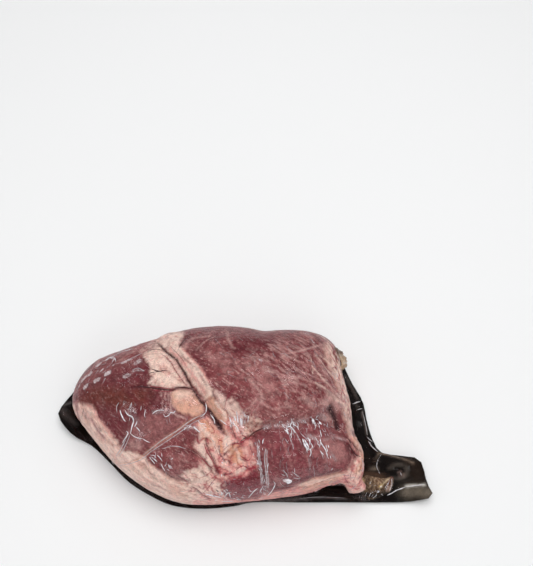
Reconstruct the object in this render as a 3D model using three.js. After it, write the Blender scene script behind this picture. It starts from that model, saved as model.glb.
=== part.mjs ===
// A raw beef heart, vacuum packed: the heart lies on a black backing film, with a clear film
// drawn skin-tight over it. Millimetres, +Z up, X along the heart from its rounded tip (-X) to
// its trimmed, wider base (+X). The origin is on the underside of the backing film, under the
// middle of the heart.
//
// Two solids: heart_in_film, the heart with the clear film that clings to it, and backing_film,
// the black sheet that carries it and shows as a margin and as a flap at either end.

import * as THREE from "three";
import { mergeVertices } from "three/addons/utils/BufferGeometryUtils.js";

// ---- driving dimensions ---------------------------------------------------------------------

const SHEET_THICKNESS = 0.8;
const SHEET_GAP = 0.3; // between the sheet and the heart that lies on it
const HEART_BASE = SHEET_THICKNESS + SHEET_GAP;

const CROWN_HEIGHT = 84; // top of the heart's highest lobe above the floor
const TIP_LOWER = 14; // how much lower the dome's crown is at the tip's end
const BASE_LOWER = 4; // and at the base's end, where the lobes' own relief makes it up
const WIDEST_HEIGHT = 26; // the widest line above the floor, at either end
const WIDEST_TILT = 8; // it rises this much on the far side and sinks on the near side
const HEART_MIDDLE = new THREE.Vector2(0, 5); // the pole that the outline is measured from
const TOP_FULLNESS = 2.1; // superellipse exponents: 2 is an ellipse, more is plumper
const FOOT_FULLNESS = 2.4;
const FOOT_FLATTENING = 1.35; // how far the weight has pressed the underside flat
const LUMP = 0.5; // unevenness of the muscle under the film

const BALL_DETAIL = 21; // 20 * (detail + 1)^2 triangles
const FOOT_FACES = 0.35; // the underside's faces are this much sparser than the dome's
const SHEET_SPOKES = 116;
const SHEET_RINGS = [0.3, 0.6, 0.76, 0.86, 0.93, 0.97, 1];

// The heart seen from above, anticlockwise from its tip. It is one flattened bag of muscle:
// straight along the far side with a small dip, square at the trimmed base, where two flaps of
// fat leave a notch, and drawn in to the tip along the near left.
const HEART_OUTLINE = [
  [-127, 19], [-122, 6], [-112, -6], [-99, -21], [-84, -36], [-68, -48], [-50, -58],
  [-32, -64], [-10, -65], [16, -63], [44, -60], [70, -57], [84, -53], [95, -51],
  [105, -56], [114, -53], [120, -42], [119, -28], [112, -15], [108, -4], [107, 12],
  [103, 32], [100, 50], [98, 64], [91, 73], [79, 78], [60, 79], [46, 77], [36, 75],
  [24, 78], [-3, 82], [-26, 80], [-46, 75], [-68, 68], [-91, 61], [-110, 53], [-122, 39],
];

// The backing film seen from above, anticlockwise from the tip of the left flap.
const SHEET_OUTLINE = [
  [-142, 14], [-138, 6], [-128, -4], [-112, -12], [-95, -27], [-78, -43], [-60, -54],
  [-42, -62], [-17, -65], [10, -63], [24, -60], [68, -60], [110, -60], [142, -60],
  [165, -59], [173, -57], [170, -46], [168, -32], [164, -25], [150, -22], [134, -19],
  [128, -8], [124, 8], [121, 28], [113, 44], [106, 62], [100, 78], [86, 88], [50, 90],
  [10, 92], [-30, 90], [-66, 80], [-98, 66], [-122, 50], [-133, 32],
];
const SHEET_MIDDLE = new THREE.Vector2(0, -30);

// ---- curves and outlines --------------------------------------------------------------------

// A smooth curve through places on the floor plan.
function planCurve(places, closed) {
  const points = places.map(([x, y]) => new THREE.Vector3(x, y, 0));
  return new THREE.CatmullRomCurve3(points, closed, "centripetal");
}

// A closed outline as the distance from middle in each direction.
function polarRadius(outline, middle) {
  const SAMPLES = 1440;
  const ring = planCurve(outline, true)
    .getPoints(SAMPLES)
    .map((p) => new THREE.Vector2(p.x - middle.x, p.y - middle.y))
    .map((p) => ({ angle: Math.atan2(p.y, p.x), radius: p.length() }))
    .sort((a, b) => a.angle - b.angle);
  return (angle) => {
    let low = 0;
    let high = ring.length - 1;
    if (angle <= ring[low].angle || angle >= ring[high].angle) return ring[low].radius;
    while (high - low > 1) {
      const half = (low + high) >> 1;
      if (ring[half].angle < angle) low = half;
      else high = half;
    }
    const share = (angle - ring[low].angle) / (ring[high].angle - ring[low].angle || 1);
    return ring[low].radius + share * (ring[high].radius - ring[low].radius);
  };
}

function distanceToLine(line, x, y) {
  let least = Infinity;
  for (let i = 0; i + 1 < line.length; i++) {
    const a = line[i];
    const b = line[i + 1];
    const dx = b.x - a.x;
    const dy = b.y - a.y;
    const share = THREE.MathUtils.clamp(
      ((x - a.x) * dx + (y - a.y) * dy) / (dx * dx + dy * dy), 0, 1,
    );
    least = Math.min(least, Math.hypot(x - a.x - share * dx, y - a.y - share * dy));
  }
  return least;
}

// ---- the forms of the heart's face ----------------------------------------------------------

// Rounded lobes and hollows: a soft mound at a place, longer along one direction.
const MOUNDS = [
  { at: [-74, 24], reach: [46, 34], turn: 12, height: -3 }, // the tip's side lies lower
  { at: [-84, 8], reach: [28, 26], turn: 30, height: 4 }, // the lobe at the tip
  { at: [44, 32], reach: [52, 28], turn: -4, height: 3 }, // the large upper lobe
  { at: [66, -40], reach: [34, 17], turn: 6, height: 6 }, // the plump lower lobe
  { at: [18, -42], reach: [14, 15], turn: 10, height: -8 }, // the fatty hollow between the lobes
  { at: [16, -62], reach: [20, 9], turn: 0, height: 4 }, // the muscle below the hollow
  { at: [3, -19], reach: [9, 7], turn: -50, height: -4 }, // the pit where the vessels go in
  { at: [-28, -46], reach: [15, 8], turn: 8, height: 2 }, // the muscle above the near roll of fat
];

// Long forms: a cord or a groove along a line.
const FURROWS = [
  // the groove beside the coronary vessels, from the far edge down to the pit
  {
    line: [[-57, 64], [-49, 51], [-39, 40], [-31, 27], [-23, 12], [-14, 1], [-6, -10], [3, -24]],
    width: 6, height: -5,
  },
  // the cord of fat and vessels that runs along it
  {
    line: [[-47, 69], [-36, 50], [-27, 37], [-19, 24], [-12, 12], [-5, 1], [3, -10], [11, -21]],
    width: 6, height: 4,
  },
  // the fold where the upper lobe meets the lower one, and the slit at its end
  {
    line: [[9, -15], [20, -18], [34, -21], [50, -20], [63, -17], [75, -14], [88, -7]],
    width: 7.5, height: -7,
  },
  { line: [[87, 0], [90, -10], [94, -21]], width: 5.5, height: -4 },
  // the crease that the drawn film presses in, from the pit to the near left edge
  { line: [[-8, -8], [-33, -21], [-53, -33], [-64, -38], [-76, -41]], width: 4.6, height: -2.2 },
  // the bowed groove above the near muscle, and the one between it and the roll of fat
  { line: [[-42, -40], [-29, -35], [-17, -38], [-8, -45]], width: 5, height: -2.4 },
  { line: [[-56, -41], [-45, -49], [-30, -56], [-16, -61]], width: 5.5, height: -2.6 },
  // the roll of fat along the near left edge
  { line: [[-74, -43], [-56, -54], [-36, -63], [-14, -67]], width: 8, height: 3 },
  // the strip of fat along the lower lobe's edge
  { line: [[40, -62], [58, -60], [78, -55], [96, -49]], width: 6, height: 3 },
  // the flap of fat at the base and the gully inside it
  { line: [[103, -18], [110, -30], [114, -41], [110, -51]], width: 6.5, height: 3 },
  { line: [[96, -24], [100, -34], [99, -44]], width: 6, height: -3 },
];

function moundHeight({ at, reach, turn, height }, x, y) {
  const angle = THREE.MathUtils.degToRad(turn);
  const dx = x - at[0];
  const dy = y - at[1];
  const along = (dx * Math.cos(angle) + dy * Math.sin(angle)) / reach[0];
  const across = (dy * Math.cos(angle) - dx * Math.sin(angle)) / reach[1];
  return height * Math.exp(-(along * along + across * across));
}

// How far the face stands out beyond the plain dome at a place, before it fades to the foot.
function reliefAt(furrows, x, y) {
  let relief = 0;
  for (const mound of MOUNDS) relief += moundHeight(mound, x, y);
  for (const { path, width, height } of furrows) {
    const across = distanceToLine(path, x, y) / width;
    relief += height * Math.exp(-across * across);
  }
  return relief;
}

// Muscle is never quite smooth: slow swells of a finger's breadth.
function lumpAt(x, y) {
  const sway = Math.sin(x / 21 + 1.2) + Math.sin(y / 17);
  return LUMP * (Math.sin(x / 7.3 + sway) + Math.sin(y / 6.1 - 1.4 * sway) + 0.6 * sway);
}

// The height of the dome's crown over each place: the tip's end is thinner than the base's.
function crownHeight(x) {
  const share = THREE.MathUtils.smoothstep(x, -120, 40);
  return CROWN_HEIGHT - THREE.MathUtils.lerp(TIP_LOWER, BASE_LOWER, share);
}

// ---- the heart ------------------------------------------------------------------------------

const heartRadiusAt = polarRadius(HEART_OUTLINE, HEART_MIDDLE);

// The outline's dips and corners belong to its edge, so the rings of the dome further in follow
// a softened outline.
function ringRadius(angle, out) {
  const SPREAD = 5;
  const STEP = THREE.MathUtils.degToRad(7);
  let soft = 0;
  for (let k = -SPREAD; k <= SPREAD; k++) {
    const turned = angle + k * STEP;
    soft += heartRadiusAt(Math.atan2(Math.sin(turned), Math.cos(turned))) / (2 * SPREAD + 1);
  }
  return out * THREE.MathUtils.lerp(soft, heartRadiusAt(angle), out ** 4);
}

// One place on the heart's section, which turns from the crown (0) over the widest line (a
// quarter turn) to the middle of the foot (a half turn): how far out, and how far up or down.
function sectionAt(turn) {
  const above = turn <= Math.PI / 2;
  const power = 2 / (above ? TOP_FULLNESS : FOOT_FULLNESS);
  const out = Math.pow(Math.max(0, Math.sin(turn)), power);
  const up = Math.pow(Math.abs(Math.cos(turn)), power);
  return { above, out, up };
}

// The section's turns, each with the share of all faces that lie before it, so that faces of
// even size cover the dome and sparser ones the foot.
function sectionByFaces() {
  const STEPS = 400;
  const HALF_WIDTH = 98;
  const HALF_HEIGHT = 50;
  const places = [{ turn: 0, share: 0 }];
  for (let i = 1; i <= STEPS; i++) {
    const turn = (i / STEPS) * Math.PI;
    const last = sectionAt(places[i - 1].turn);
    const { above, out, up } = sectionAt(turn);
    const slant = Math.hypot(HALF_WIDTH * (out - last.out), HALF_HEIGHT * (up - last.up));
    const faces = (out + last.out) * slant * (above ? 1 : FOOT_FACES);
    places.push({ turn, share: places[i - 1].share + faces });
  }
  const all = places[STEPS].share;
  return places.map(({ turn, share }) => ({ turn, share: share / all }));
}

function turnAtShare(places, share) {
  const next = Math.max(1, places.findIndex((place) => place.share >= share));
  const a = places[next - 1];
  const b = places[next];
  return THREE.MathUtils.mapLinear(share, a.share, b.share, a.turn, b.turn);
}

function heartGeometry() {
  const ball = new THREE.IcosahedronGeometry(1, BALL_DETAIL);
  ball.deleteAttribute("normal");
  ball.deleteAttribute("uv");
  const heart = mergeVertices(ball, 1e-4);
  const furrows = FURROWS.map((furrow) => ({
    ...furrow, path: planCurve(furrow.line, false).getPoints(40),
  }));
  const section = sectionByFaces();
  const position = heart.getAttribute("position");
  const point = new THREE.Vector3();
  for (let i = 0; i < position.count; i++) {
    point.fromBufferAttribute(position, i).normalize();
    const angle = Math.atan2(point.y, point.x);
    const share = THREE.MathUtils.clamp((1 - point.z) / 2, 0, 1);
    const { above, out, up } = sectionAt(turnAtShare(section, share));
    const radius = ringRadius(angle, out);
    const x = HEART_MIDDLE.x + radius * Math.cos(angle);
    const y = HEART_MIDDLE.y + radius * Math.sin(angle);
    const widest = WIDEST_HEIGHT + WIDEST_TILT * Math.sin(angle);
    if (!above) {
      const sunk = Math.min(1, FOOT_FLATTENING * up);
      position.setXYZ(i, x, y, THREE.MathUtils.lerp(widest, HEART_BASE, sunk));
      continue;
    }
    const dome = THREE.MathUtils.lerp(widest, crownHeight(x), up);
    const standing = THREE.MathUtils.smoothstep(up, 0, 0.45);
    const relief = (reliefAt(furrows, x, y) + lumpAt(x, y)) * standing;
    // On the flanks the relief pushes outward, on the crown upward.
    const outward = relief * out * (1 - up) * 0.6;
    position.setXYZ(
      i,
      x + outward * Math.cos(angle),
      y + outward * Math.sin(angle),
      dome + relief * up,
    );
  }
  return heart;
}

// ---- the backing film -----------------------------------------------------------------------

// How high the sheet's underside stands off the floor: flat under the heart, and lifted beside
// it, most at the two flaps, whose ends curl.
function sheetLift(x, y) {
  const dx = x - HEART_MIDDLE.x;
  const dy = y - HEART_MIDDLE.y;
  const beside = Math.hypot(dx, dy) / heartRadiusAt(Math.atan2(dy, dx));
  const rim = THREE.MathUtils.smoothstep(beside, 0.86, 1.12);
  const leftFlap = 7 * THREE.MathUtils.smoothstep(-x, 112, 142);
  const nearCurl = 7 * THREE.MathUtils.smoothstep(x, 150, 173) * THREE.MathUtils.smoothstep(-y, 30, 57);
  const flapFold = 5 * THREE.MathUtils.smoothstep(x, 118, 132) * Math.exp(-(((y + 27) / 9) ** 2));
  const farWave = 2.5 * THREE.MathUtils.smoothstep(y, 76, 92) * (1 + Math.sin(x / 17));
  return 2 * rim + leftFlap + nearCurl + flapFold + farWave;
}

function sheetGeometry() {
  const edge = planCurve(SHEET_OUTLINE, true).getSpacedPoints(SHEET_SPOKES).slice(0, SHEET_SPOKES);
  const vertices = [];
  const triangles = [];
  const place = (spoke, share, top) => {
    const x = THREE.MathUtils.lerp(SHEET_MIDDLE.x, edge[spoke].x, share);
    const y = THREE.MathUtils.lerp(SHEET_MIDDLE.y, edge[spoke].y, share);
    vertices.push(x, y, sheetLift(x, y) + (top ? SHEET_THICKNESS : 0));
  };
  for (const top of [true, false]) {
    const first = vertices.length / 3;
    place(0, 0, top);
    for (const share of SHEET_RINGS)
      for (let spoke = 0; spoke < SHEET_SPOKES; spoke++) place(spoke, share, top);
    const at = (ring, s) => first + 1 + ring * SHEET_SPOKES + (s % SHEET_SPOKES);
    const face = (a, b, c) => triangles.push(...(top ? [a, b, c] : [a, c, b]));
    for (let s = 0; s < SHEET_SPOKES; s++) {
      face(first, at(0, s), at(0, s + 1));
      for (let ring = 0; ring + 1 < SHEET_RINGS.length; ring++) {
        face(at(ring, s), at(ring + 1, s), at(ring + 1, s + 1));
        face(at(ring, s), at(ring + 1, s + 1), at(ring, s + 1));
      }
    }
  }
  // The sheet's cut edge joins the two faces.
  const perSide = vertices.length / 6;
  const rim = 1 + (SHEET_RINGS.length - 1) * SHEET_SPOKES;
  for (let s = 0; s < SHEET_SPOKES; s++) {
    const a = rim + s;
    const b = rim + ((s + 1) % SHEET_SPOKES);
    triangles.push(a, perSide + a, perSide + b, a, perSide + b, b);
  }
  const sheet = new THREE.BufferGeometry();
  sheet.setAttribute("position", new THREE.Float32BufferAttribute(vertices, 3));
  sheet.setIndex(triangles);
  return sheet;
}

// ---- the part -------------------------------------------------------------------------------

function named(name, geometry, material) {
  geometry.computeVertexNormals();
  const mesh = new THREE.Mesh(geometry, material);
  mesh.name = name;
  return mesh;
}

const meat = new THREE.MeshStandardMaterial({ color: 0x7d3f45, roughness: 0.3, metalness: 0 });
const blackFilm = new THREE.MeshStandardMaterial({ color: 0x15110f, roughness: 0.25, metalness: 0 });

const packedHeart = new THREE.Group();
packedHeart.add(
  named("heart_in_film", heartGeometry(), meat),
  named("backing_film", sheetGeometry(), blackFilm),
);

export default packedHeart;
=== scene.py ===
# %% [markdown]
# # A raw beef heart, vacuum packed
#
# The real thing is one heavy bag of muscle, fat and vessels. It lies on a sheet of black
# film, and a thin clear film is drawn down over it so tightly that it follows every groove.
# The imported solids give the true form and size. This script dresses them: first the meat
# itself, then the films, then the light.

import math

import bpy
import numpy as np
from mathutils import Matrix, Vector, noise
from mathutils.bvhtree import BVHTree


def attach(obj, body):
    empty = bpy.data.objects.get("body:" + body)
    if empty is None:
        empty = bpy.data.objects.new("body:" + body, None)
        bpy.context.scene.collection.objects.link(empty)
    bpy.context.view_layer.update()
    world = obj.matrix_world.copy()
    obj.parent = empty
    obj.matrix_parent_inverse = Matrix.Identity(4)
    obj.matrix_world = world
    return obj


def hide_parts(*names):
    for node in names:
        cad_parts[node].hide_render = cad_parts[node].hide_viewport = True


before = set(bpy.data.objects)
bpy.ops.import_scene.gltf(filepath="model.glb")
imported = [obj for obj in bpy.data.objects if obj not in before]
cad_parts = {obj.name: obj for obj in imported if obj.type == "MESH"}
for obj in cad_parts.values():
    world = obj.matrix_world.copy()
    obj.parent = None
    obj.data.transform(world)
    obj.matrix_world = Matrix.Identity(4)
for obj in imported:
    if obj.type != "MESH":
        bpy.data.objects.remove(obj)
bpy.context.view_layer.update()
MM = 0.001
print("packed nodes:", sorted(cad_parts))

# %% [markdown]
# ## The camera first
#
# Most of what is drawn below is placed on the photograph, so the camera that took it comes first: it
# looks down on the lying heart. A pixel then stands for a line of sight, and where that line meets
# the model is the real place of the thing seen.

# %% The photograph's camera
PHOTO_SIZE = (533, 566)
CAMERA_PLACE = (0.037, -0.227, 0.6761)
CAMERA_TILT = math.radians(29)  # from straight down
FOCAL_PIXELS = 814
SENSOR = 36.0

bpy.ops.object.select_all(action="DESELECT")
bpy.ops.object.camera_add(location=CAMERA_PLACE, rotation=(CAMERA_TILT, 0, 0))
camera = bpy.context.object
camera.name = "photo_camera"
camera.data.sensor_fit = "VERTICAL"
camera.data.sensor_height = SENSOR
camera.data.lens = FOCAL_PIXELS * SENSOR / PHOTO_SIZE[1]
camera.data.clip_start = 0.05
bpy.context.scene.camera = camera

EYE = np.array(CAMERA_PLACE)
LOOK = np.array([0, math.sin(CAMERA_TILT), -math.cos(CAMERA_TILT)])
RIGHT = np.array([1.0, 0, 0])
UP = np.array([0, math.cos(CAMERA_TILT), math.sin(CAMERA_TILT)])


def sight_line(pixel):
    """The direction in which the camera sees a pixel of the photograph."""
    across = pixel[0] - PHOTO_SIZE[0] / 2
    down = pixel[1] - PHOTO_SIZE[1] / 2
    return Vector(LOOK * FOCAL_PIXELS + RIGHT * across - UP * down).normalized()


def pixels_of(places):
    """The pixel of the photograph at which each place is seen."""
    seen = places - EYE
    depth = seen @ LOOK
    across = PHOTO_SIZE[0] / 2 + FOCAL_PIXELS * (seen @ RIGHT) / depth
    down = PHOTO_SIZE[1] / 2 - FOCAL_PIXELS * (seen @ UP) / depth
    return across, down


print("the origin is seen at pixel", [round(float(a[0])) for a in pixels_of(np.zeros((1, 3)))])

# %% [markdown]
# ## Small helpers
#
# A mesh can be changed vertex by vertex or all at once, as one array of numbers. The second is
# far quicker for a whole surface, so these helpers read a mesh's places, normals and edges
# into arrays, and write places, colours and values back.

# %% Small helpers for meshes
MERGE_GAP = 0.01 * MM  # vertices nearer than this become one


def only(piece):
    """Makes piece the one selected object."""
    bpy.ops.object.select_all(action="DESELECT")
    piece.select_set(True)
    bpy.context.view_layer.objects.active = piece


def copy_of_node(node, name):
    """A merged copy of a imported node, as a new piece."""
    piece = bpy.data.objects.new(name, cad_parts[node].data.copy())
    piece.data.name = name
    bpy.context.scene.collection.objects.link(piece)
    only(piece)
    bpy.ops.object.mode_set(mode="EDIT")
    bpy.ops.mesh.select_all(action="SELECT")
    bpy.ops.mesh.remove_doubles(threshold=MERGE_GAP)
    bpy.ops.object.mode_set(mode="OBJECT")
    return piece


def places_of(piece):
    found = np.empty(len(piece.data.vertices) * 3)
    piece.data.vertices.foreach_get("co", found)
    return found.reshape(-1, 3)


def place_all(piece, places):
    piece.data.vertices.foreach_set("co", np.ascontiguousarray(places).ravel())
    piece.data.update()


def normals_of(piece):
    found = np.empty(len(piece.data.vertices) * 3, np.float32)
    piece.data.vertex_normals.foreach_get("vector", found)
    return found.reshape(-1, 3).astype(float)


def edges_of(piece):
    found = np.empty(len(piece.data.edges) * 2, int)
    piece.data.edges.foreach_get("vertices", found)
    return found.reshape(-1, 2)


def tree_of(piece):
    faces = [tuple(face.vertices) for face in piece.data.polygons]
    return BVHTree.FromPolygons([Vector(p) for p in places_of(piece)], faces)


def smooth_step(low, high, value):
    share = np.clip((value - low) / (high - low), 0, 1)
    return share * share * (3 - 2 * share)


def keep_colours(piece, name, shades):
    layer = piece.data.attributes.new(name, "FLOAT_COLOR", "POINT")
    layer.data.foreach_set("color", np.hstack([shades, np.ones((len(shades), 1))]).ravel())


def keep_values(piece, name, values):
    layer = piece.data.attributes.new(name, "FLOAT", "POINT")
    layer.data.foreach_set("value", values)


def report(piece):
    low, high = places_of(piece).min(0) / MM, places_of(piece).max(0) / MM
    faces = sum(len(face.vertices) - 2 for face in piece.data.polygons)
    print(f"{piece.name}: {faces} triangles, {low.round()} to {high.round()} mm")


# %% [markdown]
# ## The heart's mesh
#
# The solid's faces are about 3 mm wide, too coarse for veins and folds that are barely a
# millimetre. A copy of it is merged, its upper side is cut into faces under a millimetre,
# and a few rounds of smoothing take the facets off. The foot, which nobody sees, stays coarse.

# %% Refine the upper side
UPPER_SIDE = 9 * MM  # faces above this get the fine mesh
LOOKING_DOWN = -0.75  # and those that look further down than this don't
FINER_CUTS = 3  # new vertices on each edge
SMOOTHING_ROUNDS = 14

meat = copy_of_node("heart_in_film", "heart_muscle_and_fat")
for face in meat.data.polygons:
    face.select = face.center.z > UPPER_SIDE and face.normal.z > LOOKING_DOWN
for parts in (meat.data.vertices, meat.data.edges):
    parts.foreach_set("select", np.zeros(len(parts), bool))
bpy.context.tool_settings.mesh_select_mode = (False, False, True)
bpy.ops.object.mode_set(mode="EDIT")
bpy.ops.mesh.subdivide(number_cuts=FINER_CUTS)
bpy.ops.mesh.select_all(action="SELECT")
bpy.ops.mesh.quads_convert_to_tris()
bpy.ops.mesh.vertices_smooth(factor=0.5, repeat=SMOOTHING_ROUNDS)
bpy.ops.object.mode_set(mode="OBJECT")
report(meat)

# %% [markdown]
# ## Drawing on a surface
#
# Veins, folds and the edges of the fat all follow lines that can be read off the photograph.
# Each is a short list of pixels. A smooth curve through them is cast onto the surface along
# the lines of sight, and what happens next depends on how near a vertex is to the curve:
# it is pushed in, or it takes another colour. Areas are outlines on the photograph, and a
# vertex belongs to one if it is seen inside it.

# %% Curves through pixels, cast onto a surface
CURVE_STEP = 1.2  # pixels


def smooth_curve(points, closed=False):
    """Points about CURVE_STEP apart on a smooth curve that passes through the given ones."""
    points = np.array(points, float)
    if closed:
        around = np.vstack([points[-1:], points, points[:2]])
    else:
        around = np.vstack([2 * points[0] - points[1], points, 2 * points[-1] - points[-2]])
    curve = []
    for a, b, c, d in zip(around, around[1:], around[2:], around[3:]):
        steps = max(1, int(np.linalg.norm(c - b) / CURVE_STEP))
        for t in np.arange(steps) / steps:
            curve.append(0.5 * (2 * b + (c - a) * t + (2 * a - 5 * b + 4 * c - d) * t**2
                                + (3 * b - a - 3 * c + d) * t**3))
    return np.array(curve if closed else curve + [points[-1]])


def cast(pixels, surface):
    """Where a smooth curve through pixels lies on a surface: its places and its normals."""
    places, normals = [], []
    for pixel in smooth_curve(pixels):
        place, normal, _, _ = surface.ray_cast(Vector(EYE), sight_line(pixel))
        if place is not None:
            places.append(place)
            normals.append(normal)
    return np.array(places), np.array(normals)


def clouds(places, size, seed=0, stretch=1.0, turn=0.0, octaves=3):
    """Soft random clouds, about -1 to 1. They are size across, and stretch times as long."""
    cos, sin = math.cos(turn), math.sin(turn)
    along = (places[:, 0] * cos + places[:, 1] * sin) / stretch
    across = places[:, 1] * cos - places[:, 0] * sin
    grid = np.stack([along, across, places[:, 2]], 1) / size + 17.3 * (seed + 1)
    return np.array([noise.fractal(Vector(p), 1.0, 2.0, octaves) for p in grid])


# %% [markdown]
# ## A canvas
#
# Each vertex of the meat is a spot to be painted. First it has to know where it is, which way
# it faces, whether the camera sees it and at which pixel. Flesh has no straight edges, so every
# outline is read through a little waviness, made of a slow wave and a quick one.

# %% What every vertex of the meat knows about itself
TURNED_AWAY, IN_SIGHT = -0.15, 0.03  # how squarely a vertex faces the camera
WAVER = 1.3  # pixels
SLOW_WAVE, QUICK_WAVE = 5 * MM, 1.8 * MM

rest = places_of(meat)  # before any carving: all nearness is measured here
outward = normals_of(meat)
bare_heart = tree_of(meat)
to_eye = EYE - rest
to_eye /= np.linalg.norm(to_eye, axis=1)[:, None]
facing = np.einsum("ij,ij->i", outward, to_eye)
seen = smooth_step(TURNED_AWAY, IN_SIGHT, facing)
across, down = pixels_of(rest)
waver_x, waver_y = (
    WAVER * clouds(rest, SLOW_WAVE, slow) + WAVER * clouds(rest, QUICK_WAVE, quick)
    for slow, quick in ((1, 14), (2, 15)))
wavy = rest + 0.5 * MM * np.stack([waver_x, waver_y, waver_y], 1)
print(f"{len(rest)} vertices, {seen.mean():.0%} of them seen")

# %% [markdown]
# Two questions come up for every stroke and every patch: how near is a vertex to a line, and
# how far inside an outline is it seen? Both are answered for all vertices at once.

# %% Near a line, and inside an outline
FADED = 2.6  # times its reach away from its line, a stroke has faded to nothing


def gap_to(spots, a, b):
    """How far each spot lies from the line a to b, and how far along it, from 0 to 1."""
    span = b - a
    share = np.clip((spots - a) @ span / (span @ span + 1e-12), 0, 1)
    return np.linalg.norm(spots - a - share[:, None] * span, axis=1), share


def nearness(pixels, reach, spots, surface, taper=0.0):
    """Which spots lie near a curve cast on a surface, and how near: 1 on it, fading over
    reach, and over the share taper at both of its ends."""
    line, _ = cast(pixels, surface)
    if len(line) < 2:
        return np.zeros(0, int), np.zeros(0)
    low, high = line.min(0) - FADED * reach, line.max(0) + FADED * reach
    which = np.flatnonzero(np.all((spots > low) & (spots < high), axis=1))
    near = spots[which]
    least = np.full(len(which), np.inf)
    where = np.zeros(len(which))
    for i, (a, b) in enumerate(zip(line, line[1:])):
        gap, share = gap_to(near, a, b)
        closer = gap < least
        least[closer] = gap[closer]
        where[closer] = (i + share[closer]) / (len(line) - 1)
    close = np.exp(-((least / reach) ** 2))
    if taper:
        close *= np.clip(np.minimum(where, 1 - where) / taper, 0, 1)
    return which, close


def in_outline(outline, soft, hidden=False):
    """How far inside a closed outline each vertex is seen: 1 inside, 0 outside. Vertices on
    the hidden side, behind the outline, count too if hidden is set."""
    ring = smooth_curve(outline, closed=True)
    u, v = across + waver_x, down + waver_y
    low, high = ring.min(0) - 2 * soft, ring.max(0) + 2 * soft
    which = np.flatnonzero((u > low[0]) & (u < high[0]) & (v > low[1]) & (v < high[1]))
    spots = np.stack([u[which], v[which]], 1)
    inside = np.zeros(len(which), bool)
    least = np.full(len(which), np.inf)
    for a, b in zip(ring, np.roll(ring, -1, axis=0)):
        crosses = (a[1] > spots[:, 1]) != (b[1] > spots[:, 1])
        rise = b[1] - a[1] or 1e-9
        inside ^= crosses & (spots[:, 0] < a[0] + (spots[:, 1] - a[1]) * (b[0] - a[0]) / rise)
        least = np.minimum(least, gap_to(spots, a, b)[0])
    shares = np.zeros(len(rest))
    shares[which] = smooth_step(-soft, soft, np.where(inside, least, -least))
    return shares if hidden else shares * seen


# %% [markdown]
# ## Tissues
#
# Muscle is a dark, brownish red that goes violet where the film's haze lies on it. Fat is
# cream to pink, tan where it has dried, and orange in the hollow where juice has stained it.
# Each is a named colour, as a printed colour from 0 to 255. The canvas holds two things for
# every vertex: its colour, and how fatty it is, which the material needs for its grain.

# %% The palette


def printed(red, green, blue):
    """A colour as a screen shows it, made linear for the shader."""
    share = np.array([red, green, blue]) / 255
    return np.where(share <= 0.04045, share / 12.92, ((share + 0.055) / 1.055) ** 2.4)


TISSUES = {  # colour and fattiness
    "muscle": (printed(130, 68, 70), 0.0),
    "deep muscle": (printed(104, 42, 49), 0.0),
    "brown muscle": (printed(104, 50, 42), 0.0),
    "lower muscle": (printed(120, 46, 56), 0.0),
    "hazy muscle": (printed(168, 114, 112), 0.1),
    "membrane": (printed(202, 160, 154), 0.45),
    "fat": (printed(244, 214, 200), 1.0),
    "shaded fat": (printed(210, 170, 156), 0.9),
    "pink fat": (printed(232, 162, 154), 0.8),
    "tan fat": (printed(218, 168, 146), 0.9),
    "orange fat": (printed(212, 148, 120), 0.8),
    "red": (printed(164, 40, 58), 0.2),
    "wine": (printed(88, 28, 36), 0.1),
    "black vein": (printed(42, 22, 26), 0.0),
}
colour = np.tile(TISSUES["muscle"][0], (len(rest), 1))
fatty = np.zeros(len(rest))


def lay(tissue, share, which=slice(None)):
    """Lays a tissue over the canvas where share is more than 0."""
    shade, fattiness = TISSUES[tissue]
    share = np.clip(share, 0, 1)
    colour[which] += share[:, None] * (shade - colour[which])
    fatty[which] += share * (fattiness - fatty[which])


def lay_areas(areas):
    """Lays each area of a table: (tissue, strength, softness in pixels, outline)."""
    for tissue, strength, soft, outline in areas.values():
        lay(tissue, strength * in_outline(outline, soft))


print(len(TISSUES), "tissues")

# %% [markdown]
# ### Muscle and its haze
#
# Under the film the muscle is cloudy: darker and paler patches a centimetre wide, and on the
# upper lobe's right side pale fibres that run down to the right. Both come from stretched
# noise, which gives the same result on every run.

# %% Clouds on the muscle
FIBRE_TURN = math.radians(-38)

lay("deep muscle", 0.25 * smooth_step(0.0, 0.5, clouds(rest, 16 * MM, 3)))
lay("hazy muscle", 0.6 * smooth_step(0.02, 0.5, clouds(rest, 11 * MM, 4, 1.6, FIBRE_TURN)))

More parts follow.
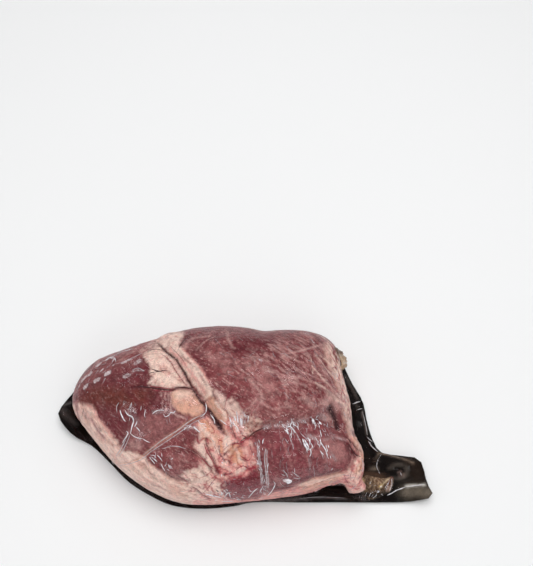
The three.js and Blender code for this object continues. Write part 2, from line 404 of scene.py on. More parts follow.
MUSCLE_AREAS = {  # name: (tissue, strength, softness in pixels, outline)
    "left lobe": ("deep muscle", 0.85, 4, [
        (78, 402), (82, 386), (92, 370), (106, 360), (124, 356), (140, 352), (150, 360),
        (150, 374), (150, 388), (162, 392), (172, 398), (172, 408), (182, 416), (180, 426),
        (150, 446), (134, 452), (118, 440), (100, 420), (90, 406)]),
    "lower lobe": ("lower muscle", 1.0, 4, [
        (252, 434), (262, 430), (285, 430), (306, 426), (326, 424), (340, 436), (350, 452),
        (350, 464), (334, 472), (312, 480), (290, 488), (268, 490), (258, 470)]),
    "brown heart of the left lobe": ("brown muscle", 0.9, 8, [
        (84, 394), (96, 387), (125, 388), (148, 389), (152, 395), (146, 404), (128, 408),
        (108, 406), (90, 402)]),
    "haze of the left lobe": ("hazy muscle", 0.5, 7, [
        (132, 426), (150, 416), (178, 416), (184, 424), (160, 440), (140, 448), (130, 440)]),
    # painted highlight: the right side of the lower lobe is painted paler where a soft gleam lies on
    # it
    "painted highlight at the right of the lower lobe": ("hazy muscle", 1.0, 9, [
        (322, 441), (340, 439), (349, 450), (348, 461), (335, 467), (324, 460)]),
    "dull band above the fold": ("hazy muscle", 0.25, 5, [
        (256, 410), (275, 410), (300, 408), (320, 404), (322, 412), (300, 418), (270, 421)]),
    "haze on top of the left lobe": ("hazy muscle", 0.3, 5, [
        (86, 380), (96, 366), (112, 358), (134, 355), (138, 362), (116, 370), (98, 382)]),
    "muscle below the hollow": ("lower muscle", 1.0, 2.5, [
        (217, 497), (219, 488), (226, 481), (234, 477), (246, 476), (253, 469), (258, 474),
        (263, 484), (262, 496), (242, 502), (224, 502)]),
    # painted shade: the top rim is painted darker where the surface turns away
    "shaded top rim": ("deep muscle", 0.75, 3, [
        (176, 338), (200, 326), (250, 324), (300, 326), (326, 338), (326, 346), (300, 341),
        (250, 337), (200, 343)]),
    "dark top of the upper lobe": ("deep muscle", 0.95, 6, [
        (226, 346), (236, 335), (262, 331), (277, 338), (272, 350), (250, 356), (232, 355)]),
    "dark left end of the upper lobe": ("deep muscle", 0.7, 4, [
        (188, 353), (196, 346), (204, 351), (208, 362), (204, 372), (196, 367)]),
    "red foot of the lower lobe": ("lower muscle", 0.8, 5, [
        (268, 475), (300, 470), (335, 461), (345, 466), (318, 476), (290, 486), (268, 488)]),
}
lay_areas(MUSCLE_AREAS)
print(len(MUSCLE_AREAS), "areas of muscle")

# %% [markdown]
# The two lobes differ. The lower one is smooth, with faint streaks down it, and wine red along
# its foot. The upper one is fibrous on its right side, and softly hazy elsewhere.

# %% Streaks and fibres
lower_lobe = in_outline(MUSCLE_AREAS["lower lobe"][3], 4)
DOWN = math.radians(-82)
lay("hazy muscle", 0.15 * lower_lobe)
lay("hazy muscle", 0.4 * lower_lobe * smooth_step(0.05, 0.45, clouds(rest, 1.8 * MM, 17, 7, DOWN)))
lay("wine", 0.35 * lower_lobe * smooth_step(0.1, 0.5, clouds(rest, 6 * MM, 18, 2.5, DOWN)))

FIBRED = [(255, 350), (300, 333), (322, 338), (340, 370), (345, 404), (326, 412), (300, 400),
          (262, 392), (240, 372)]
fibred = in_outline(FIBRED, 10)
lay("deep muscle", 0.45 * fibred * smooth_step(0.1, 0.45, clouds(rest, 3 * MM, 16, 4, FIBRE_TURN)))
lay("membrane", 0.55 * fibred * smooth_step(0.1, 0.42, clouds(rest, 2.4 * MM, 6, 4.5, FIBRE_TURN)))
smooth = 1 - np.max([share * in_outline(MUSCLE_AREAS[name][3], 4) for name, share in (
    ("lower lobe", 1.0), ("left lobe", 0.7), ("muscle below the hollow", 1.0),
    ("dark top of the upper lobe", 0.6), ("shaded top rim", 0.5))], axis=0)
lay("hazy muscle",
    0.5 * smooth * smooth_step(0.12, 0.5, clouds(rest, 4 * MM, 5, 1.4, FIBRE_TURN)))
print(f"haze covers {np.mean(colour[:, 1] > 0.12):.0%} of the heart")

# %% [markdown]
# ### Fat
#
# Fat wraps the near left edge in a thick roll, runs down beside the vessels, fills the hollow
# where the two lobes meet, and trims the base. Each area is one outline.

# %% Areas of fat
FAT_AREAS = {  # name: (tissue, strength, softness in pixels, outline)
    "roll along the near left edge": ("fat", 1.0, 2.5, [
        (75, 404), (84, 404), (92.5, 406), (96, 414), (100.5, 422), (106, 429),
        (112.5, 435.5), (117, 441), (122, 450), (134, 452), (144, 458), (154, 466),
        (165, 472), (180, 476), (188, 470), (198, 468), (204, 460), (210, 470), (218, 478),
        (220, 488), (222, 502), (205, 507), (183, 508), (152, 499), (134, 486), (115, 471),
        (100, 455), (85, 437), (76, 427), (70, 412)]),
    "fat left of the groove": ("fat", 1.0, 2, [
        (143.5, 355.5), (150, 351), (157.5, 347), (164, 351.5), (172, 358), (180, 369),
        (188, 384), (190, 387), (175, 388), (149, 386), (149.5, 380), (152.5, 377),
        (149, 372), (151.6, 366), (147, 361)]),
    "root of the vessels": ("fat", 0.9, 2.5, [
        (140, 352), (146, 345), (156, 337), (168, 333.5), (178, 332), (183, 334),
        (180, 343), (181, 349), (172, 352), (164, 347), (157, 345)]),
    "rim of the far left edge": ("muscle", 0.8, 3, [
        (118, 362), (124, 353), (136, 346), (148, 340), (158, 335), (160, 339), (150, 347),
        (142, 354), (130, 360)]),
    "cord beside the groove": ("fat", 0.95, 2, [
        (164, 344), (170, 340), (180, 347), (185, 354), (192, 361), (199, 368), (202, 375),
        (207, 383), (213, 391), (213, 399), (206, 401), (203, 396), (194, 385), (185, 371),
        (174, 357)]),
    "cord below the pinch": ("tan fat", 0.95, 2, [
        (206, 400), (213, 396), (219, 403), (225, 411), (229, 417), (227, 424), (232, 434),
        (229, 438), (222, 425), (212, 412)]),
    "tan fat left of the groove": ("tan fat", 1.0, 2.5, [
        (173, 391), (184, 389.5), (191, 392), (198.5, 400), (204, 408), (202, 413.5),
        (196, 416), (188, 414), (178, 411), (173, 405.5), (171.5, 397)]),
    "pale corner right of the cord": ("fat", 0.7, 2.5, [
        (214, 391), (219, 392), (224, 396), (227, 400), (232, 398), (238, 404), (240, 412),
        (244, 416), (238, 420), (230, 417), (222, 406)]),
    "nodule beside the pit": ("shaded fat", 1.0, 2, [
        (243, 432), (246, 424), (251, 419), (258, 419), (262, 424), (258, 430), (252, 434),
        (247, 438)]),
    "vessels at the pit": ("pink fat", 0.85, 2, [
        (224, 424), (230, 418), (238, 418), (243, 424), (244, 434), (238, 442), (230, 440)]),
    "hollow between the lobes": ("pink fat", 0.9, 3, [
        (196, 424), (206, 417), (214, 424), (222, 434), (231, 441), (240, 435), (248, 436),
        (253, 446), (256, 458), (257, 466), (252, 470), (246, 476), (236, 477), (228, 479),
        (220, 482), (212, 478), (204, 466), (197, 456), (194, 444), (199, 434)]),
    "right edge": ("shaded fat", 0.85, 2.5, [
        (324, 345), (331, 352), (336, 361), (341, 371), (346, 384), (350, 400), (351, 416),
        (345, 412), (343, 399), (337, 386), (331, 372), (325, 358)]),
    "membrane over the slit": ("membrane", 0.6, 3, [
        (320, 402), (332, 392), (342, 396), (346, 408), (338, 410), (326, 407)]),
    "strip under the lower lobe": ("pink fat", 0.95, 1.5, [
        (270, 493), (282, 491), (292, 488), (299, 484), (306, 482.5), (313.5, 478),
        (320, 477), (328, 476), (337, 473), (346, 471), (352, 476), (344, 486), (332, 494),
        (312, 499), (285, 501), (266, 501)]),
    "flap at the base": ("pink fat", 0.95, 2, [
        (349, 437), (354, 437), (361, 444), (368, 456), (369, 470), (366, 482), (366, 497),
        (350, 497), (342, 488), (342, 478), (350, 465), (356, 456), (353, 447)]),
}
lay_areas(FAT_AREAS)
print(f"{len(FAT_AREAS)} areas, {np.mean(fatty > 0.5):.0%} of the heart is fat")

# %% [markdown]
# Fat is never one colour. Pink and shaded blotches lie in it, the hollow is stained orange,
# and islands of muscle show through.

# %% Stains and islands
fat_share = smooth_step(0.5, 0.9, fatty)
lay("pink fat", 0.38 * fat_share * smooth_step(0.05, 0.55, clouds(rest, 7 * MM, 7)))
lay("shaded fat", 0.6 * fat_share * smooth_step(0.0, 0.5, clouds(rest, 4 * MM, 8, 2.5, FIBRE_TURN)))

STAINS = {  # name: (tissue, strength, softness in pixels, outline)
    "orange in the hollow": ("orange fat", 0.85, 2, [
        (229, 449), (234, 444), (241, 447), (244, 456), (241, 464), (234, 464), (229, 457)]),
    "orange beside the pit": ("tan fat", 0.8, 3, [
        (199, 424), (207, 420), (216, 428), (221, 440), (214, 448), (205, 443), (199, 434)]),
    "orange line": ("orange fat", 0.9, 1.2, [
        (220, 440), (223, 440), (222.5, 450), (220.5, 454), (219, 449)]),
    "cream fold of the hollow": ("fat", 0.9, 1.5, [
        (224, 436), (229, 437), (231, 444), (227, 450), (224, 454), (223, 446)]),
    "pale shoulder of the hollow": ("fat", 0.8, 3, [
        (196, 441), (203, 444), (208, 454), (213, 464), (216, 472), (208, 472), (202, 462)]),
    "pale rim below the hollow": ("fat", 0.75, 2.5, [
        (206, 478), (216, 482), (222, 492), (220, 503), (206, 502), (200, 492)]),
    "near muscle": ("muscle", 0.85, 1.5, [
        (164, 452), (170, 447), (178, 450), (188, 453), (194, 456), (195, 460), (189, 466.7),
        (180.7, 466), (171, 463), (165, 461), (163, 457)]),
    "pale foot below the near muscle": ("pink fat", 0.9, 1.5, [
        (198, 496), (210, 492.5), (219, 493.5), (226, 497), (234, 499.5), (246, 500.5),
        (257, 498), (266, 494), (276, 499), (272, 510), (198, 512)]),
    "haze on the near muscle": ("hazy muscle", 0.35, 3, [
        (168, 453), (180, 452), (190, 457), (186, 464), (172, 462)]),
    "mauve band above the roll": ("muscle", 0.85, 2, [
        (147, 455), (154, 456), (160, 464), (168, 471), (180, 476), (187, 480), (180, 481),
        (166, 476), (156, 468), (149, 461)]),
    "muscle under the crease": ("muscle", 1.0, 2.5, [
        (158, 447), (172, 438), (186, 431), (197, 432), (200, 440), (194, 446), (178, 445),
        (166, 448), (160, 453)]),
    "pale blotch of the left lobe": ("membrane", 0.6, 2.5, [
        (128, 442), (136, 441), (142, 445), (140, 449), (130, 448)]),
    "cream end of the roll": ("fat", 0.9, 1.5, [
        (120, 454), (127, 452), (135, 454), (136, 458), (128, 462), (120, 461)]),
    "yellow band of the roll": ("tan fat", 0.5, 3, [
        (166, 484), (178, 488), (188, 494), (184, 498), (172, 494)]),
    "muscle left of the slit": ("muscle", 0.6, 3, [
        (316, 421), (330, 422), (336, 430), (342, 442), (330, 440), (320, 430)]),
    "pale patch left of the slit": ("membrane", 0.7, 1.5, [
        (322, 416), (331, 414.5), (332, 420), (325, 421)]),
    "flesh right of the slit": ("muscle", 0.9, 2, [
        (337, 415), (342, 416), (345, 424), (346, 432), (341, 430), (338, 424)]),
    "skin right of it": ("shaded fat", 0.7, 2, [
        (342, 410), (348, 410), (351, 424), (353, 436), (348, 436), (346, 424)]),
    "pale top of the tan fat": ("fat", 0.6, 4, [
        (175, 392), (186, 390), (193, 394), (189, 399), (178, 399)]),
    "tan top of the flap": ("tan fat", 0.95, 1.5, [
        (351, 436), (356, 437), (362, 443), (366, 452), (365, 460), (362, 470), (358, 476),
        (355, 472), (359, 462), (360, 455), (357, 449)]),
    "tan strip": ("tan fat", 0.9, 1.2, [
        (299, 484), (307, 482), (313, 478), (321, 477), (330, 474), (340, 472.5), (343, 476),
        (336, 482), (324, 485), (312, 490), (303, 491)]),
    "muscle showing in the left roll": ("hazy muscle", 0.5, 2, [
        (80, 408), (88, 410), (92, 418), (88, 424), (82, 418)]),
    "brown left edge": ("brown muscle", 0.6, 2, [
        (76, 396), (88, 398), (94, 404), (98, 410), (90, 408), (78, 404)]),
}
lay_areas(STAINS)
print(len(STAINS), "stains")

# %% [markdown]
# The thick roll is built of long fibres, cream beside tan beside pink. Noise that is stretched
# twelve times along the roll gives them.

# %% Fibres of the roll
ROLL_TURN = math.radians(-36)
roll = in_outline(FAT_AREAS["roll along the near left edge"][3], 3)
for seed, tissue, strength in ((24, "tan fat", 0.45), (25, "pink fat", 0.15), (26, "red", 0.18)):
    fibres = clouds(rest, 2.4 * MM, seed, 12, ROLL_TURN, octaves=2)
    lay(tissue, strength * roll * smooth_step(0.16, 0.4, fibres))
print(f"the roll covers {np.mean(roll > 0.5):.0%} of the heart")

# %% [markdown]
# ### The side that the photograph doesn't show
#
# The far flank and the foot are finished by what such a heart has: fat along the far edge
# and at the base, and muscle between, with pale membrane over it.

# %% Unseen flanks
unseen = 1 - seen
toward_base = smooth_step(20 * MM, 110 * MM, rest[:, 0])
patches = clouds(rest, 32 * MM, 9, 1.6) + 0.3 * clouds(rest, 6 * MM, 19, 2.5) + 0.5 * toward_base
lay("fat", 0.9 * unseen * smooth_step(0.1, 0.5, patches))
lay("pink fat", 0.7 * unseen * smooth_step(0.1, 0.5, clouds(rest, 9 * MM, 10)) * fatty)
lay("membrane", 0.6 * unseen * smooth_step(0.15, 0.5, clouds(rest, 5 * MM, 11, 3)))
print(f"{unseen.mean():.0%} of the heart is unseen")

# %% [markdown]
# In the hollow, round the slit and along the edges the tissue is crumpled. Where a random wave
# crosses zero there is a crevice, which is red and goes in, and between the crevices the crests
# are pale and stand out a little.

# %% Crumpled places
CRUMPLED = {  # name: (strength, size mm, stretch, turn in degrees, tissue of the crests, outline)
    "hollow": (0.75, 6.5, 1.7, -62, "fat", FAT_AREAS["hollow between the lobes"][3]),
    "pit": (0.6, 4.0, 1.6, -70, "fat", [
        (224, 412), (246, 410), (262, 420), (256, 434), (240, 440), (228, 436)]),
    "near edge": (0.8, 5.0, 2.2, -45, "fat", [
        (198, 466), (214, 474), (224, 484), (222, 502), (196, 500), (180, 480)]),
    "below the hollow": (0.2, 3.5, 2.0, -50, "pink fat", [
        (222, 492), (262, 489), (272, 495), (262, 501), (222, 504)]),
    "strip": (0.5, 3.5, 2.5, 20, "pink fat", FAT_AREAS["strip under the lower lobe"][3]),
    "flap": (0.8, 4.2, 1.8, 70, "fat", FAT_AREAS["flap at the base"][3]),
    "right edge": (1.0, 4.2, 2.2, -68, "fat", [
        (326, 344), (336, 350), (347, 376), (353, 404), (353, 430), (345, 412), (337, 380)]),
    "beside the groove": (0.45, 5.5, 3.0, -52, "fat", FAT_AREAS["fat left of the groove"][3]),
    "root": (0.5, 4.0, 2.0, -25, "fat", FAT_AREAS["root of the vessels"][3]),
    "left roll": (0.2, 4.6, 5.0, -42, "fat", FAT_AREAS["roll along the near left edge"][3]),
    "left rim": (0.5, 2.8, 4.0, 30, "membrane", FAT_AREAS["rim of the far left edge"][3]),
    "top": (0.2, 3.0, 3.0, 10, "membrane", [
        (176, 336), (200, 328), (250, 326), (300, 328), (324, 340), (300, 342), (250, 338),
        (200, 342)]),
}
CREST_HEIGHT, CREVICE_DEPTH = 0.35, 0.45  # mm
pushed = np.zeros(len(rest))
for seed, (strength, size, stretch, turn, crests, outline) in enumerate(CRUMPLED.values()):
    share = strength * in_outline(outline, 3)
    wave = np.abs(clouds(rest, size * MM, 90 + seed, stretch, math.radians(turn), octaves=2))
    crevice, crest = smooth_step(0.11, 0.0, wave), smooth_step(0.12, 0.4, wave)
    lay("red", share * crevice)
    lay(crests, 0.7 * share * crest)
    pushed += MM * share * (CREST_HEIGHT * crest - CREVICE_DEPTH * crevice)
print(f"{len(CRUMPLED)} crumpled places, from {pushed.min() / MM:.1f} to {pushed.max() / MM:.1f} mm")

# %% [markdown]
# ## Grooves, folds and their colours
#
# A groove or a fold is pushed in along its line and takes another tissue there. Most take a darker
# one: painted shade in the crevice, with dark blood in some as well; the dark pool in the groove is
# a painted dark reflection, and the slit is painted shade. The table gives how far each goes in, how
# wide it is, and what lies in it.

# %% Grooves and folds
GROOVES = {  # name: (depth mm, half width mm, tissue, strength, pixels along it)
    "groove beside the vessels": (1.5, 0.8, "black vein", 1.0, [
        (150, 350.5), (157, 343), (164.4, 350.5), (170.7, 356), (175.5, 359.5), (185.3, 375),
        (193.5, 390.5), (198, 397.7), (203, 404), (209, 411), (214, 418), (221, 428.5),
        (225, 435)]),
    # painted reflection: a dark reflection in the groove, painted black
    "painted dark reflection in the groove": (1.0, 1.7, "black vein", 0.9, [
        (208, 409), (213, 417), (219, 426), (222, 431)]),
    "second line of the groove": (0.5, 0.7, "wine", 0.8, [
        (163.5, 355), (170.7, 362.3), (177, 373), (187, 386.8)]),
    "grey band between them": (0.2, 0.9, "membrane", 0.6, [
        (168, 357), (174, 363), (181, 374), (190, 388)]),
    "edge of the cord": (0.6, 0.9, "wine", 0.65, [
        (180, 349), (184, 358), (191, 364), (198.5, 370), (201, 377), (206, 384), (213, 392),
        (214.4, 398.5), (220, 407), (226, 411), (229, 418)]),
    "pinch across the cord": (1.0, 0.9, "wine", 0.5, [(214, 395), (209.3, 399), (204, 402)]),
    "hook at the root": (0.7, 1.0, "wine", 0.7, [
        (178, 350), (182, 343), (186, 338), (191, 334)]),
    "fold between the lobes": (1.6, 2.4, "wine", 0.35, [
        (234, 421), (245, 424.5), (262.5, 427), (283, 425), (300, 422), (316, 421),
        (330, 417)]),
    "left end of the fold": (1.6, 1.6, "wine", 0.7, [
        (248, 430), (256, 432), (252, 437), (245, 441)]),
    # painted shade: the inside of the slit is painted black
    "slit": (2.4, 2.8, "black vein", 1.0, [
        (328.5, 404), (332, 412), (335.5, 420), (338.5, 431)]),
    "fold right of the slit": (0.8, 1.2, "wine", 0.5, [(341, 413), (343, 424), (347, 434)]),
    "gully inside the flap": (2.0, 2.3, "wine", 1.0, [
        (340, 433), (346, 440), (350, 448), (355, 454.5), (361, 456.5)]),
    "upper crevice of the flap": (1.0, 1.3, "wine", 1.0, [
        (349, 438), (353, 443), (358, 449), (363, 452)]),
    "fold under the flap": (0.8, 1.0, "red", 0.7, [
        (346, 474), (345, 480), (349, 486), (355, 489)]),
    "edge of the flap": (0.7, 1.1, "wine", 0.6, [
        (352, 449), (356, 458), (352, 465), (345, 472)]),
    "under the lower lobe": (0.8, 1.3, "wine", 0.55, [
        (268, 491), (282, 488), (295, 486.5), (309.5, 480), (317, 476.5), (327, 475.5),
        (337, 473), (349, 470)]),
    "near edge of the left lobe": (0.5, 1.4, "pink fat", 0.6, [
        (84, 405), (92.3, 408), (96, 415), (100.6, 421.4), (105.7, 428.4), (110.8, 433.5),
        (116, 440)]),
    "above the near roll": (0.9, 1.3, "wine", 0.55, [
        (150, 457), (160.4, 468), (165.3, 473), (175.8, 479.3), (186.3, 481), (196, 482)]),
    "bowed fold": (0.9, 1.1, "wine", 0.6, [
        (172, 454), (184, 451), (196, 455.5), (206, 463), (213, 470.5)]),
    "long fold of the hollow": (1.0, 1.2, "wine", 0.5, [
        (190, 449), (198.3, 453.6), (204.7, 460.6), (209, 468), (216, 476)]),
    "second fold of the hollow": (0.9, 1.1, "red", 0.5, [
        (205.3, 444), (208.5, 453), (212.3, 460), (216, 468), (221, 474)]),
    "crevice of the hollow": (1.6, 1.4, "red", 0.6, [
        (254, 434), (246, 441), (238, 449), (233, 458), (228, 470)]),
    "side crevice": (1.0, 1.1, "red", 0.5, [(244, 443), (240, 438), (231, 438)]),
    "lower crevice": (1.0, 1.2, "red", 0.55, [(258, 463), (248, 470), (240, 476), (226, 480)]),
    "right crevice": (0.9, 1.1, "red", 0.5, [(250, 446), (248, 455), (251, 465)]),
    "fold at the near edge": (0.8, 1.1, "wine", 0.6, [
        (191, 486), (198.3, 491.2), (203, 495.7), (212, 499.5)]),
    "second fold at the near edge": (0.6, 1.0, "red", 0.45, [
        (204, 482), (212, 489), (216, 497)]),
    "drawn crease, upper side": (1.3, 1.2, "tan fat", 0.55, [
        (203.5, 414), (190, 421), (176, 431), (163, 440), (150, 449.5), (144, 456),
        (128, 463), (114, 464.5)]),
    "crease across the lower lobe": (0.9, 1.3, "lower muscle", 0.3, [
        (257, 441.5), (257.6, 458.7), (259, 468.3), (262, 483)]),
    "second crease across it": (0.6, 1.1, "membrane", 0.2, [
        (265.3, 446), (266, 458.7), (266.5, 469.5), (267.2, 487)]),
    "pale line of the upper lobe": (0.6, 0.9, "membrane", 0.9, [
        (291, 353.5), (303, 350), (313, 347), (325, 344)]),
    "red under the pale line": (0.4, 0.8, "wine", 0.6, [(296, 355), (306, 352), (316, 350)]),
    "inside the right edge": (0.6, 1.2, "wine", 0.35, [
        (318, 351.6), (324, 362), (329, 373), (334, 384), (338, 396)]),
    "red vein of the left lobe": (0.3, 1.5, "wine", 1.0, [
        (124, 388.5), (138, 386.5), (150, 386), (160, 389), (168, 391), (178, 388),
        (186, 388), (193, 391)]),
    "crease of the left lobe": (0.6, 1.0, "membrane", 0.5, [
        (131.5, 428), (124, 439.2), (121, 447.5), (116.8, 456), (115.4, 463)]),
    "curved line of the corner": (0.4, 0.8, "wine", 0.5, [
        (240, 386), (231, 392), (226, 401), (225, 410)]),
}
for depth, width, tissue, strength, pixels in GROOVES.values():
    which, close = nearness(pixels, width * MM, wavy, bare_heart, taper=0.12)
    pushed[which] = np.minimum(pushed[which], -depth * MM * close)
    lay(tissue, strength * close * seen[which], which)
print(f"{len(GROOVES)} grooves, the deepest {-pushed.min() / MM:.1f} mm")
